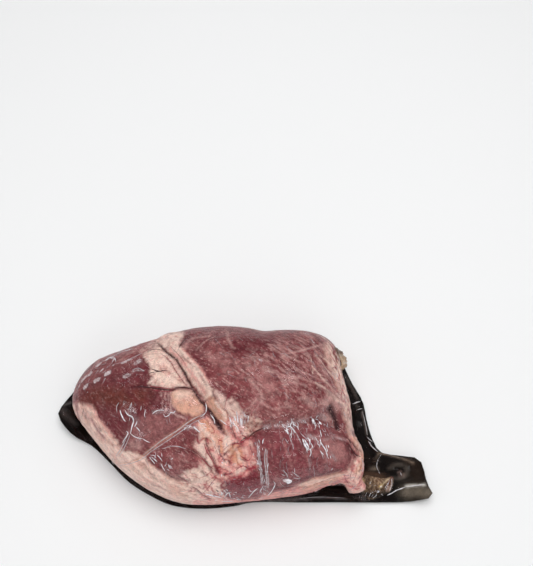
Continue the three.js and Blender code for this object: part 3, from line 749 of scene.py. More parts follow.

# %% [markdown]
# Thin strands and small marks lie on the muscle and the fat: shreds of membrane that a knife left,
# grains of fat, threads of blood. Some groups are painted light instead: painted shade on the rims
# and the left edge, painted highlights on the fat, the cord, the edges and the lower lobe, and a
# painted sheen over the fold. Each group shares a tissue.

# %% Strands, spots and blotches
STRANDS = {  # group: (tissue, strength, [(half width mm, pixels), ...])
    "pale streaks of the upper lobe": ("membrane", 0.55, [
        (0.9, [(282, 341), (288.5, 344), (294, 347), (300.5, 348.5)]),
        (0.9, [(280.5, 357), (287, 354), (292, 352)]),
        (1.2, [(263, 369), (271.5, 372), (277.5, 373.5)]),
        (1.0, [(293, 376), (302, 378.5), (311.5, 381.5), (317, 384), (324, 388.5)]),
        (1.0, [(283, 380.5), (290.5, 381.5), (299.5, 384), (307, 386)]),
        (0.8, [(279.5, 359.5), (288.5, 364), (297.5, 368.5), (305, 374)]),
        (0.8, [(283, 356), (294, 358.5), (303, 364), (308.5, 370.5)]),
        (1.0, [(268, 344), (276, 346), (284, 351)]), (0.8, [(303, 372), (312, 376), (322, 380)]),
        (0.9, [(290, 390), (298, 392), (306, 396)]),
        (0.8, [(286, 390.5), (286.8, 398), (287, 404)]),
        (0.9, [(247, 378.5), (254, 384), (259.5, 390.5), (261.5, 398), (260.5, 403)]),
        (0.9, [(261.5, 403), (268, 407), (276, 409.5), (283, 407), (290.5, 407)]),
        (1.2, [(227.7, 332), (227.7, 338.5), (230.5, 343), (232.3, 347), (235, 347.7)]),
        (1.0, [(255, 331), (261.5, 332.5), (267.7, 332.5), (274, 331)]),
        (0.8, [(318.5, 404), (325, 404), (330.5, 406)]),
        (0.7, [(250.5, 413.5), (256, 408), (261, 401.5)]),
        (0.7, [(246, 411), (252, 405), (257, 399)]), (0.9, [(196, 350), (204, 342), (214, 337)]),
        (1.6, [(183, 350), (187, 343), (195, 338), (208, 336.5)])]),
    "white fibres of the right edge": ("fat", 0.65, [
        (0.8, [(315, 355), (321.5, 361.5), (327.5, 370.5), (334, 377), (339.5, 381.5)]),
        (0.8, [(320.5, 355), (327, 361.5), (333, 367.5), (338.5, 376)]),
        (1.3, [(327, 346), (330.5, 352.5), (335, 360.5), (338.5, 367.5), (342, 377), (345, 387),
               (346.8, 397.5)]),
        (0.9, [(314, 368.5), (320.5, 376), (327, 383), (334, 390.5), (339.5, 397)]),
        (0.9, [(316, 383), (325, 388.5), (332.3, 395), (337.7, 400.5)]),
        (0.6, [(310.5, 357.5), (312.3, 366), (313, 374)]),
        (1.0, [(326, 392), (336, 400), (344, 404)]),
        (0.9, [(312, 332.5), (323, 337.5), (332, 345)])]),
    "grey blotches of the upper lobe": ("hazy muscle", 0.75, [
        (4.8, [(267, 386), (271, 388)]), (4.2, [(247, 364), (252, 369)]),
        (1.6, [(258, 359), (262, 361)]),
        (1.7, [(282, 386), (284, 387)]), (2.8, [(305, 335), (312, 337)]),
        (2.4, [(206, 352), (214, 358)]),
        (2.0, [(300, 362), (306, 366)]), (2.2, [(330, 384), (336, 392)])]),
    "pale blotches": ("membrane", 0.7, [
        (2.6, [(307, 400), (312, 403)]), (1.2, [(299, 399), (305, 398)]),
        (1.0, [(322, 370), (326, 376)])]),
    "dark streaks of the upper lobe": ("deep muscle", 0.6, [
        (1.2, [(286, 362), (296, 366), (304, 371)]), (1.0, [(290, 370), (300, 374), (308, 378)]),
        (1.4, [(300, 387), (312, 391), (322, 396)]), (1.5, [(318, 388), (326, 392), (334, 398)]),
        (2.4, [(250, 335), (262, 337), (264, 343)]), (1.1, [(304, 346), (312, 343)]),
        (1.2, [(262, 362), (268, 365), (276, 368)]), (1.6, [(274, 352), (282, 360)]),
        (1.3, [(236, 352), (240, 342)]), (1.2, [(230, 404), (240, 398), (252, 396)])]),
    "comb beside the tan fat": ("membrane", 0.95, [
        (0.7, [(165, 391), (165.5, 399)]), (0.7, [(168, 391), (168.5, 400)]),
        (0.7, [(171, 392), (171, 402)]),
        (0.7, [(161, 391), (161, 396)]), (0.7, [(166, 403), (166, 411)]),
        (0.8, [(170, 404), (171, 413)]),
        (0.6, [(163, 401), (162, 408)]), (0.9, [(172, 412), (178, 416), (184, 418)])]),
    # partly painted sheen: pale streaks down the lower lobe and pale patches where soft gleams lie
    # on it
    "haze and painted sheen of the lower lobe": ("hazy muscle", 0.6, [
        (1.0, [(293.5, 429), (298, 437), (302, 445), (306, 455), (310, 466)]),
        (0.8, [(280, 432), (284, 444), (288, 456), (292, 466)]), (2.6, [(310, 436), (318, 438)]),
        (1.6, [(258, 446), (260, 462), (263, 478)]), (1.3, [(266, 452), (267, 470), (269, 486)]),
        (1.2, [(324, 440), (332, 437), (341, 437), (348, 441)]), (2.2, [(330, 452), (336, 462)]),
        (2.0, [(310, 449), (316, 455)]), (1.6, [(276, 478), (280, 486)])]),
    # painted sheen: the band along the fold between the lobes, painted paler
    "painted sheen over the fold": ("hazy muscle", 0.7, [
        (2.0, [(262, 425), (275, 424), (290, 422), (306, 418)])]),
    "long fibres of the roll": ("shaded fat", 0.7, [
        (0.9, [(140, 461), (152, 474), (166, 485), (182, 494)]),
        (0.8, [(146, 461), (158, 474), (172, 484), (190, 492), (202, 499)]),
        (0.8, [(132, 464), (144, 477), (158, 489)]), (0.7, [(106, 436), (112, 446), (120, 455)]),
        (0.8, [(86, 412), (90, 424), (98, 436)]), (0.8, [(126, 466), (136, 478), (150, 490)])]),
    "brown fibres of the roll": ("brown muscle", 0.35, [
        (0.6, [(150, 484), (162, 488), (172, 493)]), (0.5, [(143, 463), (153, 476), (163, 485)]),
        (0.5, [(196, 448), (188, 440), (182, 434)])]),
    "wine marks": ("wine", 0.65, [
        (0.9, [(189.5, 404.5), (190.5, 406.5)]), (0.7, [(190, 394), (193, 395.5), (194, 398)]),
        (1.1, [(85, 416), (86, 418)]), (1.3, [(99, 428), (101, 430)]),
        (0.7, [(112.5, 445.5), (113.5, 446)]),
        (0.6, [(116, 445), (120, 443.5)]), (0.9, [(152, 390), (148, 394), (146, 399)]),
        (1.0, [(178, 476), (184, 479)]), (1.1, [(202, 472), (207, 475)]),
        (1.0, [(354, 445), (358, 452)]),
        (1.6, [(349, 445), (353, 451), (358, 455)])]),
    "specks of the nodule": ("brown muscle", 0.75, [
        (0.6, [(247, 427), (248, 428)]), (0.6, [(252, 423), (253, 424)]),
        (0.5, [(255, 427), (256, 426)]),
        (0.6, [(250, 430), (252, 430)]), (0.5, [(258, 422), (259, 423)]),
        (0.9, [(245, 438), (253, 434), (261, 429)])]),
    "red marks": ("red", 0.75, [
        (0.8, [(181, 357), (183, 361)]), (1.2, [(240, 440), (243, 443)]),
        (1.2, [(242, 459), (247, 460.5)]),
        (1.1, [(250, 469), (255, 467)]), (1.1, [(206.8, 438.6), (208.6, 443)]),
        (1.8, [(215, 467), (220, 471)]),
        (1.4, [(318, 489), (330, 485), (340, 480)]), (1.2, [(352, 468), (353, 478), (351, 487)]),
        (1.1, [(204, 484), (208, 490)]), (1.0, [(349, 474), (347, 482)]),
        (1.0, [(290, 490), (300, 487)]),
        (1.3, [(245, 446), (250, 452)])]),
    # painted highlights: the strip's upper edge and the flap are painted paler where light catches
    # them
    "painted highlights on the edges": ("fat", 0.7, [
        (1.1, [(300, 485.5), (312, 481), (322, 479.5), (336, 476), (346, 474)]),
        (0.8, [(272, 496), (286, 493.5), (300, 493)]), (1.2, [(356, 462), (359, 470), (358, 478)]),
        (1.0, [(349, 470), (352, 478), (350, 488)]), (0.9, [(360, 484), (356, 490), (350, 492)])]),
    "dark foot of the lower lobe": ("wine", 0.7, [
        (1.6, [(272, 487), (284, 486), (298, 481), (310, 477)]),
        (1.4, [(262, 458), (263, 470), (264, 484)]),
        (1.2, [(312, 476), (326, 473.5), (340, 470)]), (1.5, [(300, 438), (304, 446), (306, 452)]),
        (1.2, [(345, 448), (350, 456), (350, 463)])]),
    # painted shade: the left and top rims are painted darker where the surface turns away
    "painted shade on the rims": ("deep muscle", 0.75, [
        (3.0, [(76, 400), (77, 388), (85, 373), (97, 360), (112, 350)]),
        (2.4, [(182, 331), (205, 327), (240, 325), (280, 325), (310, 329), (324, 336)])]),
    # painted highlights: brighter cream strokes on the fat
    "painted highlights on the fat": ("fat", 0.8, [
        (1.2, [(160, 358), (168, 366), (176, 376)]), (1.5, [(155, 376), (166, 380), (176, 383)]),
        (1.2, [(128, 458), (140, 470), (152, 480)]), (1.3, [(150, 466), (164, 478), (180, 486)]),
        (1.2, [(200, 474), (208, 480), (214, 486)]), (1.3, [(178, 338), (172, 342)]),
        (1.4, [(184, 492), (196, 498), (206, 500)]), (1.0, [(338, 368), (342, 380), (346, 394)]),
        (1.2, [(306, 485), (318, 481.5), (330, 479)]), (1.0, [(352, 472), (355, 480)])]),
    "brown edge of the flap": ("orange fat", 0.8, [
        (1.7, [(353, 438), (358, 442), (363, 449), (365.5, 456)]),
        (1.2, [(362, 462), (359, 470)])]),
    "brown marks of the flap": ("brown muscle", 0.6, [
        (0.8, [(354, 438), (359, 442.5), (364, 449)]),
        (0.7, [(363, 456), (362, 464), (359, 471)])]),
    "soft darks of the left lobe": ("deep muscle", 0.6, [
        (2.0, [(128, 392), (136, 400), (138, 410)]), (1.6, [(148, 400), (156, 404), (164, 404)]),
        (1.4, [(146, 366), (148, 374), (147, 384)])]),
    "shade on the left edge": ("hazy muscle", 0.95, [
        (2.6, [(76, 404), (79, 418), (87, 433), (99, 448), (113, 463)]),
        (1.6, [(92, 420), (98, 430), (104, 438)])]),
    # painted highlight: a paler line along the cord
    "shine of the cord": ("fat", 0.8, [
        (1.2, [(177, 346), (187, 356), (197, 367), (205, 379), (210, 388)]),
        (1.0, [(216, 402), (222, 410), (226, 418)])]),
    "pink side of the cord": ("pink fat", 0.7, [
        (1.3, [(170, 349), (180, 359), (190, 371), (199, 384), (205, 393)]),
        (1.0, [(183, 349), (192, 359), (201, 369), (209, 382)])]),
    "crimson lines of the hollow": ("wine", 0.85, [
        (0.8, [(206.4, 437.9), (206.6, 444), (210.7, 453.6), (215.7, 465)]),
        (0.8, [(246.4, 437.9), (242, 442), (233.6, 443.6), (232, 448), (223.6, 455)]),
        (1.0, [(243.6, 460), (250.7, 463)]), (0.9, [(223.6, 474), (232, 474.8)]),
        (1.3, [(214, 466), (218, 472)]),
        (0.7, [(250, 444), (252, 452), (249, 460)]), (0.7, [(232, 424), (233, 432), (236, 438)]),
        (0.6, [(239, 422), (240, 430), (243, 436)]), (0.7, [(228, 460), (232, 466), (238, 468)]),
        (0.7, [(219, 446), (220, 454), (224, 460)])]),
    "pale lumps of the hollow": ("fat", 0.75, [
        (1.6, [(226, 439), (229, 443), (226, 448)]), (1.3, [(212, 436), (214, 444), (217, 452)]),
        (1.2, [(236, 423), (237, 431)]), (1.3, [(233, 450), (238, 452), (240, 458)]),
        (1.2, [(246, 447), (247, 455)]), (1.4, [(224, 464), (230, 470)]),
        (1.5, [(236, 472), (244, 469)]),
        (1.2, [(208, 456), (212, 464)]), (1.5, [(204, 430), (208, 434)])]),
    "orange lumps of the hollow": ("orange fat", 0.8, [
        (1.5, [(221, 444), (222, 451)]), (1.8, [(230, 448), (235, 455), (234, 461)]),
        (1.3, [(240, 450), (242, 457)]), (1.8, [(201, 421), (207, 424), (208, 430)])]),
    "bright red haze of the hollow": ("pink fat", 0.8, [
        (2.4, [(246, 444), (250, 452), (248, 462)]), (2.0, [(226, 466), (236, 468)])]),
}
for tissue, strength, strokes in STRANDS.values():
    for width, pixels in strokes:
        which, close = nearness(pixels, width * MM, wavy, bare_heart)
        lay(tissue, strength * close * seen[which], which)
print(sum(len(group[2]) for group in STRANDS.values()), "strands and spots")

# %% [markdown]
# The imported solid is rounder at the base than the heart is. Under the lower lobe the meat is
# cut back, beside the flap it is slimmer, and a lobe of fat hangs down at the foot. Those
# places are drawn in towards the middle, or out, before anything else is carved.

# %% Shape the base
BASE_SHAPES = {  # name: (mm drawn in, softness in pixels, outline)
    "cut back under the strip": (5.0, 2.5, [
        (276, 501), (292, 497.5), (304, 496), (313, 493), (322, 489.5), (331, 486.5),
        (341, 485), (345.5, 487), (346.5, 500), (300, 506)]),
    "right of the flap": (4.0, 2.5, [
        (355, 432), (363, 440), (374, 450), (378, 468), (376, 484), (364, 484), (362.5, 474),
        (364.5, 464), (364.5, 453), (361, 445)]),
    "lobe at the foot": (-4.0, 3.0, [
        (350, 484), (358, 483), (366, 484), (368, 494), (358, 498), (349, 494)]),
}
inward = -outward * (1, 1, 0.2)
drawn_in = np.zeros_like(rest)
for depth, soft, outline in BASE_SHAPES.values():
    drawn_in += inward * (depth * MM * in_outline(outline, soft, hidden=True))[:, None]
print(f"{np.sum(np.abs(drawn_in).max(1) > 1 * MM)} vertices moved")

# %% [markdown]
# Now the form follows: the grooves go in, fat swells a little in small lobules where muscle stays
# smoother, and the result goes back to the mesh. Colour and fattiness are kept as attributes, which
# the material reads.

# %% Carve and keep
FAT_SWELL = 0.35 * MM
LOBULES = 0.22 * MM
MUSCLE_UNEVEN = 0.16 * MM
FOOT_TOP, FINE_FROM = 0.004, 0.012  # the relief fades out between these heights, in metres
fine_side = smooth_step(FOOT_TOP, FINE_FROM, rest[:, 2])

relief = pushed + FAT_SWELL * fatty
relief += LOBULES * fatty * clouds(rest, 4.5 * MM, 12)
relief += MUSCLE_UNEVEN * (1 - fatty) * clouds(rest, 6 * MM, 13, 2.0, FIBRE_TURN)
flesh = rest + outward * (relief * fine_side)[:, None] + drawn_in
place_all(meat, flesh)

# the tissue colours also carry the painted shade and painted highlights laid above
keep_colours(meat, "tissue", colour)
keep_values(meat, "fatty", fatty)
keep_values(meat, "calm", 1 - smooth)
only(meat)
bpy.ops.object.shade_smooth()
report(meat)

# %% [markdown]
# ## Thin veins
#
# The thinnest veins are narrower than the meat's faces, so they can't be painted crisply.
# They are what they are on the heart: fine tubes of dark blood, half sunk in the fat. Each
# is a curve with a round bevel that thins out at both ends, made a mesh at the end.

# %% Threads laid on a surface
LONGEST_STEP = 5 * MM  # a longer one is a jump past the surface's edge


def lay_threads(name, threads, surface, sink, sides=2):
    """Round threads along pixel curves on a surface. Each thread is (radius mm, pixels)."""
    data = bpy.data.curves.new(name, "CURVE")
    data.dimensions = "3D"
    data.bevel_depth = 1.0
    data.bevel_resolution = sides
    data.use_fill_caps = True
    for radius, pixels in threads:
        places, normals = cast(pixels, surface)
        if len(places) > 1:
            jumps = np.linalg.norm(np.diff(places, axis=0), axis=1) > LONGEST_STEP
            kept = 1 + int(np.argmax(jumps)) if jumps.any() else len(places)
            places, normals = places[:kept], normals[:kept]
        if len(places) < 2:
            continue
        share = np.linspace(0, 1, len(places))
        thickness = radius * MM * (0.25 + 0.6 * np.sqrt(np.sin(np.pi * share).clip(0)))
        thickness *= 0.8 + 0.35 * clouds(places, 2.2 * MM, 80)
        places = places - normals * (sink * thickness)[:, None]
        strand = data.splines.new("POLY")
        strand.points.add(len(places) - 1)
        strand.points.foreach_set("co", np.hstack([places, np.ones((len(places), 1))]).ravel())
        strand.points.foreach_set("radius", thickness)
    piece = bpy.data.objects.new(name, data)
    bpy.context.scene.collection.objects.link(piece)
    only(piece)
    bpy.ops.object.convert(target="MESH")
    bpy.ops.object.shade_smooth()
    piece = bpy.context.object
    report(piece)
    return piece

# %% [markdown]
# Two colours of blood show: old and nearly black in the groove and the large veins, and red in the
# crevices of the hollow and along the right edge. The black in the groove is partly painted shade,
# and the thickest dark thread, in the slit, is painted shade alone.

# %% Dark veins and red threads
DARK_VEINS = [  # (radius mm, pixels)
    (0.5, [(147, 352), (152.5, 349.8), (158, 349.3), (164.4, 351.4)]),
    (0.75, [(151, 369), (155, 370.2), (160, 371.3), (164, 370.3), (168, 370.3)]),
    (0.7, [(148.5, 373.8), (152, 372.5), (156, 371.8), (160, 371.5)]),
    (0.8, [(134, 387.4), (140, 386.6), (148, 387.3), (159, 388.8), (174.4, 390.6)]),
    (0.8, [(175.3, 388), (184.4, 387.3), (192.5, 389.7)]),
    (0.45, [(178, 350), (181, 344), (186, 338.5), (191, 335)]),
    (0.45, [(185, 447.7), (194, 451.4), (201.4, 456.8)]),
    (0.6, [(216, 489.5), (218.6, 492.3)]),
    (0.8, [(248.6, 437.7), (252, 434), (256, 431.4), (262.3, 428.6), (269.5, 425)]),
    (0.9, [(349, 444), (352, 450), (356, 455), (361, 456.5)]),
    (0.5, [(345, 436), (349, 440), (352, 446)]),
    # painted shade: this thick dark thread fills the slit
    (1.3, [(329, 405), (333, 414), (336, 422), (339, 431)]),
    (0.6, [(157, 343), (164.4, 350.5), (170.7, 356), (175.5, 359.5), (185.3, 375), (193.5, 390.5),
           (203, 404), (209, 411)]),
    (0.45, [(240, 442), (245, 437.8), (248, 437)]), (0.35, [(84, 408), (83, 412), (81.5, 417)]),
]
RED_THREADS = [  # (radius mm, pixels)
    (0.3, [(240, 386), (231, 392), (226.5, 400), (225.5, 409)]),
    (0.3, [(221.4, 453), (224, 449.5), (230.5, 444)]),
    (0.4, [(163.5, 355), (170.7, 362.3), (177, 373), (187, 386.8)]),
    (0.3, [(161, 354), (165, 356), (168, 355.5)]),
    (0.5, [(150, 386), (160, 387.4), (172, 389)]), (0.5, [(153, 389.8), (163, 391.5), (174, 391)]),
    (0.7, [(332.3, 368.6), (335, 366.8), (337, 369.5)]), (0.6, [(333, 374), (334, 376)]),
    (0.7, [(331.4, 356.8), (334, 360.5), (337, 366)]), (0.6, [(336, 378.6), (339.5, 381.4)]),
    (0.7, [(341.4, 396), (342, 392), (344, 394), (346, 397)]), (0.6, [(343, 384), (345, 390)]),
    (0.5, [(338, 371), (340, 376), (342, 379)]),
    (0.65, [(203.6, 442.3), (206.8, 451.4), (212.3, 460.5), (215, 467.7)]),
    (0.65, [(201.4, 456.8), (206.8, 464), (214, 469.5)]), (0.45, [(206.8, 438.6), (208.6, 443)]),
    (0.7, [(234, 444), (241.4, 442.3), (246.8, 437.7), (241.4, 435)]),
    (0.65, [(239.5, 455), (243, 457.7), (247.7, 460.5), (250.5, 458.6)]),
    (0.7, [(224, 475), (228.6, 474), (232.3, 472.3)]), (0.6, [(250, 446), (252, 452), (256, 456)]),
    (0.4, [(216.8, 476.8), (212.3, 482.3), (206.8, 489.5), (203, 493)]),
    (0.5, [(190.5, 486), (197.7, 489.5), (203, 495), (208.6, 497.7)]),
    (0.6, [(244, 466), (250, 469), (256, 467)]), (0.6, [(236, 470), (242, 466), (247, 467)]),
    (0.35, [(213, 455), (216, 462), (216, 468)]), (0.35, [(214, 445), (217, 452), (220, 460)]),
    (0.3, [(199, 478), (206, 475.5), (212, 470)]), (0.35, [(205, 482), (211, 479), (218, 474)]),
    (0.4, [(228.6, 424), (231, 430), (233, 437)]), (0.35, [(299, 487), (306, 488), (312, 486)]),
    (0.35, [(316, 484), (326, 480), (336, 477)]), (0.4, [(353, 468), (351, 474), (350, 480)]),
    (0.35, [(357, 467), (356, 475), (353, 482)]), (0.4, [(344, 474), (346, 480), (349, 485)]),
    (0.35, [(352, 486), (356, 489), (361, 488)]), (0.3, [(297, 354), (306, 351.5), (316, 349.3)]),
    (0.3, [(168, 344), (175, 351), (182, 359), (186, 366)]),
    (0.3, [(95, 421), (98, 426), (101, 430)]),
    (0.3, [(176, 478), (184, 480), (190, 483)]), (0.3, [(250, 414), (254, 409), (259.5, 402.5)]),
]
fleshy = tree_of(meat)
veins = lay_threads("dark_veins", DARK_VEINS, fleshy, sink=0.45)
red_threads = lay_threads("red_threads", RED_THREADS, fleshy, sink=0.5)

# %% [markdown]
# ## The black backing film
#
# A sheet of stiff black film under the heart, with a margin that shows on the near side and
# the right, a flap at either end, and creases where the vacuum pulled it. The solid has the
# sheet's outline and its main curls. A copy is cut finer, and creases are raised in it the
# same way on both faces, so that it keeps its thickness.

# %% Creases in the black film
ABOVE_ALL, BELOW_ALL = 0.1, -0.01  # heights in metres from which rays start
FLANK_HEIGHT = 0.015  # at which the gap to the heart's flank is measured
LIFTS_FROM = 6 * MM  # a crease is at its full height this far from the heart

black = copy_of_node("backing_film", "black_backing_film")
bpy.ops.object.mode_set(mode="EDIT")
bpy.ops.mesh.select_all(action="SELECT")
bpy.ops.mesh.subdivide(number_cuts=FINER_CUTS, smoothness=0.0)
bpy.ops.mesh.quads_convert_to_tris()
bpy.ops.object.mode_set(mode="OBJECT")
sheet = places_of(black)
bare_sheet = tree_of(black)

SHEET_CREASES = {  # name: (height mm, half width mm, pixels)
    "ridge along the right flap": (2.4, 3.0, [
        (385.5, 495), (390.6, 492.8), (394.7, 490.2), (399.8, 488.7), (405, 486.6),
        (414, 485), (424, 484)]),
    "rim of the dimple": (1.6, 2.2, [
        (391, 475), (390, 470), (391, 466.7), (396, 464.5), (402.3, 464.5), (407, 469)]),
    "lower rim of the dimple": (1.2, 2.0, [(391.6, 475), (398.3, 479), (404.4, 479.5)]),
    "shoulder of the flap": (1.4, 2.4, [(386, 456), (392, 457.5), (408.5, 463.7), (416, 470)]),
    "crease at the flap's root": (1.6, 1.5, [
        (381.4, 454), (378, 460), (376.8, 466.7), (380, 474)]),
    "right margin, first": (0.9, 0.9, [(362.3, 411), (365, 423), (367.4, 435.3)]),
    "right margin, second": (1.0, 0.9, [(366.6, 436.6), (370, 440), (374.3, 442.8)]),
    "right margin, third": (1.4, 1.2, [(368.2, 440.9), (372.3, 447), (378, 451.9)]),
    "right margin, top": (1.2, 1.5, [(343.8, 381.7), (352.8, 388.7), (356.6, 397)]),
    "right margin, step": (1.5, 1.0, [(352.4, 404), (360.4, 401.5)]),
    "right margin, second step": (1.2, 0.9, [(357.2, 409.7), (362, 408.5)]),
    "near margin": (0.8, 1.5, [(240, 506), (270, 503.5), (303.5, 500), (347, 499)]),
    "left flap, upper": (0.9, 1.4, [(68.7, 406.2), (74.5, 407.8)]),
    "left flap, lower": (1.1, 2.0, [(62, 414), (68, 421), (75, 430)]),
}


def raised(spots, surface, creases):
    """How much a table of creases lifts each place, whatever its height."""
    lift = np.zeros(len(spots))
    for height, width, pixels in creases.values():
        line, _ = cast(pixels, surface)
        if len(line) < 2:
            continue
        for a, b in zip(line[:, :2], line[1:, :2]):
            gap, _ = gap_to(spots[:, :2], a, b)
            lift = np.maximum(lift, height * MM * np.exp(-((gap / (width * MM)) ** 2)))
    return lift


beside = np.array([bare_heart.ray_cast(Vector((x, y, BELOW_ALL)), Vector((0, 0, 1)))[0] is None
                   for x, y, _ in sheet])
edge_gap = np.array([bare_heart.find_nearest(Vector((x, y, FLANK_HEIGHT)))[3]
                     for x, y, _ in sheet])
free = beside * smooth_step(0.0, LIFTS_FROM, edge_gap)
flat_sheet = sheet * (1, 1, 0)
lifted = raised(sheet, bare_sheet, SHEET_CREASES)
lifted += 0.5 * MM * np.abs(clouds(flat_sheet, 14 * MM, 20, 2.5, math.radians(20)))
lifted += 0.18 * MM * clouds(flat_sheet, 5 * MM, 21)
sheet[:, 2] = np.maximum(sheet[:, 2] + lifted * free, 0.0)
place_all(black, sheet)
black_tree = tree_of(black)
print(f"{len(SHEET_CREASES)} creases, up to {(lifted * free).max() / MM:.1f} mm high")

# %% [markdown]
# Black film isn't one black. It is browner in broad patches, and its creases and margins carry
# grey sheens, which are laid along lines as the tissues were.

# %% Sheens of the black film
SHEET_BLACK, SHEET_BROWN = printed(14, 9, 8), printed(28, 20, 16)
SHEENS = [  # (half width mm, strength, colour, pixels)
    (5.5, 0.85, (110, 100, 88), [(407, 492), (417, 491), (428, 493)]),
    (1.1, 0.9, (200, 194, 186), [(406, 486), (416, 485.3), (425, 484.6)]),
    (8.0, 0.3, (58, 43, 32), [(412, 464), (418, 478)]),
    (1.5, 0.8, (78, 70, 64), [(391, 468), (393, 465.5), (399, 464.5), (405.5, 467), (407, 471),
                              (405.7, 476), (399, 479), (393.6, 477)]),
    (0.9, 0.8, (160, 132, 124), [(400.4, 472), (401.6, 476)]),
    (0.9, 0.8, (130, 110, 100), [(404, 474), (405, 477)]),
    (1.1, 0.8, (124, 106, 92), [(379, 453), (392, 455.8), (405, 459.4), (413, 463)]),
    (0.9, 0.8, (116, 102, 90), [(378.6, 454), (376.4, 461.4), (375, 470)]),
    (0.9, 0.8, (116, 102, 90), [(376.4, 467), (378.5, 472), (380, 476)]),
    (2.2, 0.8, (84, 62, 48), [(362, 474), (372, 474.5), (384, 477)]),
    (1.3, 0.5, (90, 82, 78), [(345, 376), (352, 388), (357, 398)]),
    (1.6, 0.6, (110, 106, 106), [(240, 503), (262, 501.5), (290, 500), (306, 499)]),
    (1.0, 0.6, (96, 92, 92), [(312, 498.5), (330, 498), (346, 499)]),
    (2.6, 0.5, (84, 76, 74), [(62, 410), (68, 417), (75, 424)]),
    (1.2, 0.5, (104, 98, 96), [(64, 405), (70, 403)]),
    (1.0, 0.6, (104, 96, 90), [(362, 412), (365, 424), (367, 434)]),
    (1.0, 0.5, (90, 82, 76), [(356, 402), (358, 409)]),
]


def shaded_along(table, shades, spots, surface):
    """Lays each line of a table over the colours of a piece's vertices."""
    for width, strength, shade_of, pixels in table:
        which, close = nearness(pixels, width * MM, spots, surface)
        shades[which] += strength * close[:, None] * (printed(*shade_of) - shades[which])


sheen = np.tile(SHEET_BLACK, (len(sheet), 1))
sheen += (0.6 * smooth_step(0.0, 0.5, clouds(flat_sheet, 20 * MM, 22)))[:, None] * (
    SHEET_BROWN - sheen)
shaded_along(SHEENS, sheen, sheet + 0.6 * MM * clouds(sheet, 4 * MM, 23)[:, None], black_tree)
keep_colours(black, "sheen", sheen)
only(black)
bpy.ops.object.shade_smooth_by_angle(angle=math.radians(50))
report(black)

# %% [markdown]
# ## The clear film
#
# The film is a skin: it lies on the heart wherever the heart bulges, and bridges whatever is
# too narrow to be sucked into. So it starts as a copy of the meat's upper side, and every
# vertex that lies lower than its neighbours is raised to them, again and again. That closes
# the narrow crevices and leaves the wide ones. Below the heart's widest line the film lets
# go and sweeps down to the black sheet in a hollow curve.

# %% The skin over the heart
WIDEST_MIDDLE = Vector((0, 0.005, 0.0275))  # the heart is widest on a plane through this
WIDEST_SLOPE = 0.1  # which rises this much towards the far side
BRIDGING_ROUNDS = 26
FILM_GAP = 0.3 * MM

only(meat)
bpy.ops.object.duplicate()
film = bpy.context.object
film.name = film.data.name = "clear_film"
for layer in ("tissue", "fatty", "calm"):
    film.data.attributes.remove(film.data.attributes[layer])
bpy.ops.object.mode_set(mode="EDIT")
bpy.ops.mesh.select_all(action="SELECT")
bpy.ops.mesh.bisect(plane_co=WIDEST_MIDDLE, plane_no=(0, -WIDEST_SLOPE, 1), clear_inner=True)
bpy.ops.mesh.select_all(action="SELECT")
bpy.ops.mesh.quads_convert_to_tris()
bpy.ops.object.mode_set(mode="OBJECT")

skin = places_of(film)
edges = edges_of(film)
ends = edges.T.ravel()
others = edges[:, ::-1].T.ravel()
valence = np.bincount(ends, minlength=len(skin))
facing_out = normals_of(film)
for _ in range(BRIDGING_ROUNDS):
    mean = np.stack([np.bincount(ends, skin[others, k], len(skin)) for k in range(3)], 1)
    rise = np.einsum("ij,ij->i", mean / valence[:, None] - skin, facing_out)
    skin += facing_out * np.clip(rise, 0, None)[:, None]
bridged = np.linalg.norm(skin - places_of(film), axis=1)
skin += facing_out * FILM_GAP
print(f"the film bridges crevices by up to {bridged.max() / MM:.1f} mm")

# %% [markdown]
# Drawn film is never quite flat. Its slow ripples are a tenth of a millimetre high, and they
# are what breaks the light into streaks.

# %% Ripples
RIPPLE = 0.10 * MM
ripple_turn = math.radians(-50)
skin += facing_out * (RIPPLE * clouds(skin, 5 * MM, 30, 3.0, ripple_turn))[:, None]
skin += facing_out * (0.4 * RIPPLE * clouds(skin, 2.2 * MM, 31, 2.0))[:, None]
place_all(film, skin)

# %% [markdown]
# The skirt is made ring by ring from the skin's cut edge. Seen from above, each vertex moves
# away from the sheet's middle, while its height falls to just above the black film.

# %% The skirt down to the sheet
SHEET_MIDDLE = np.array([0.0, -0.030])
SKIRT_WIDTH = 11 * MM  # how far from the heart the film meets the sheet
SKIRT_RINGS = 9
MARGIN_RINGS = 7
MARGIN_END = 0.985  # of the way to the sheet's cut edge
MARGIN_LEAST = 2 * MM
SKIRT_SHARE = 0.8  # of the margin is skirt, at most
SKIRT_GAP = 0.35 * MM
DIRECTIONS = 360  # in which the sheet's reach is measured

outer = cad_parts["backing_film"].data
outer_places = np.array([v.co for v in outer.vertices])[:, :2] - SHEET_MIDDLE
outer_angle = np.arctan2(outer_places[:, 1], outer_places[:, 0])
outer_radius = np.linalg.norm(outer_places, axis=1)


def sheet_radius(angles):
    """How far the sheet reaches from its middle in each direction."""
    bins = np.linspace(-np.pi, np.pi, DIRECTIONS + 1)
    which = np.clip(np.digitize(outer_angle, bins) - 1, 0, DIRECTIONS - 1)
    widest = np.zeros(DIRECTIONS)
    np.maximum.at(widest, which, outer_radius)
    empty = widest < 0.03  # metres: no vertex of the sheet's edge lies in this direction
    middle = (bins[:-1] + bins[1:]) / 2
    widest[empty] = np.interp(middle[empty], middle[~empty], widest[~empty])
    return np.interp(angles, middle, widest, period=2 * np.pi)


def height_of_sheet(x, y):
    hit = black_tree.ray_cast(Vector((x, y, ABOVE_ALL)), Vector((0, 0, -1)))[0]
    return hit.z if hit is not None else 0.001


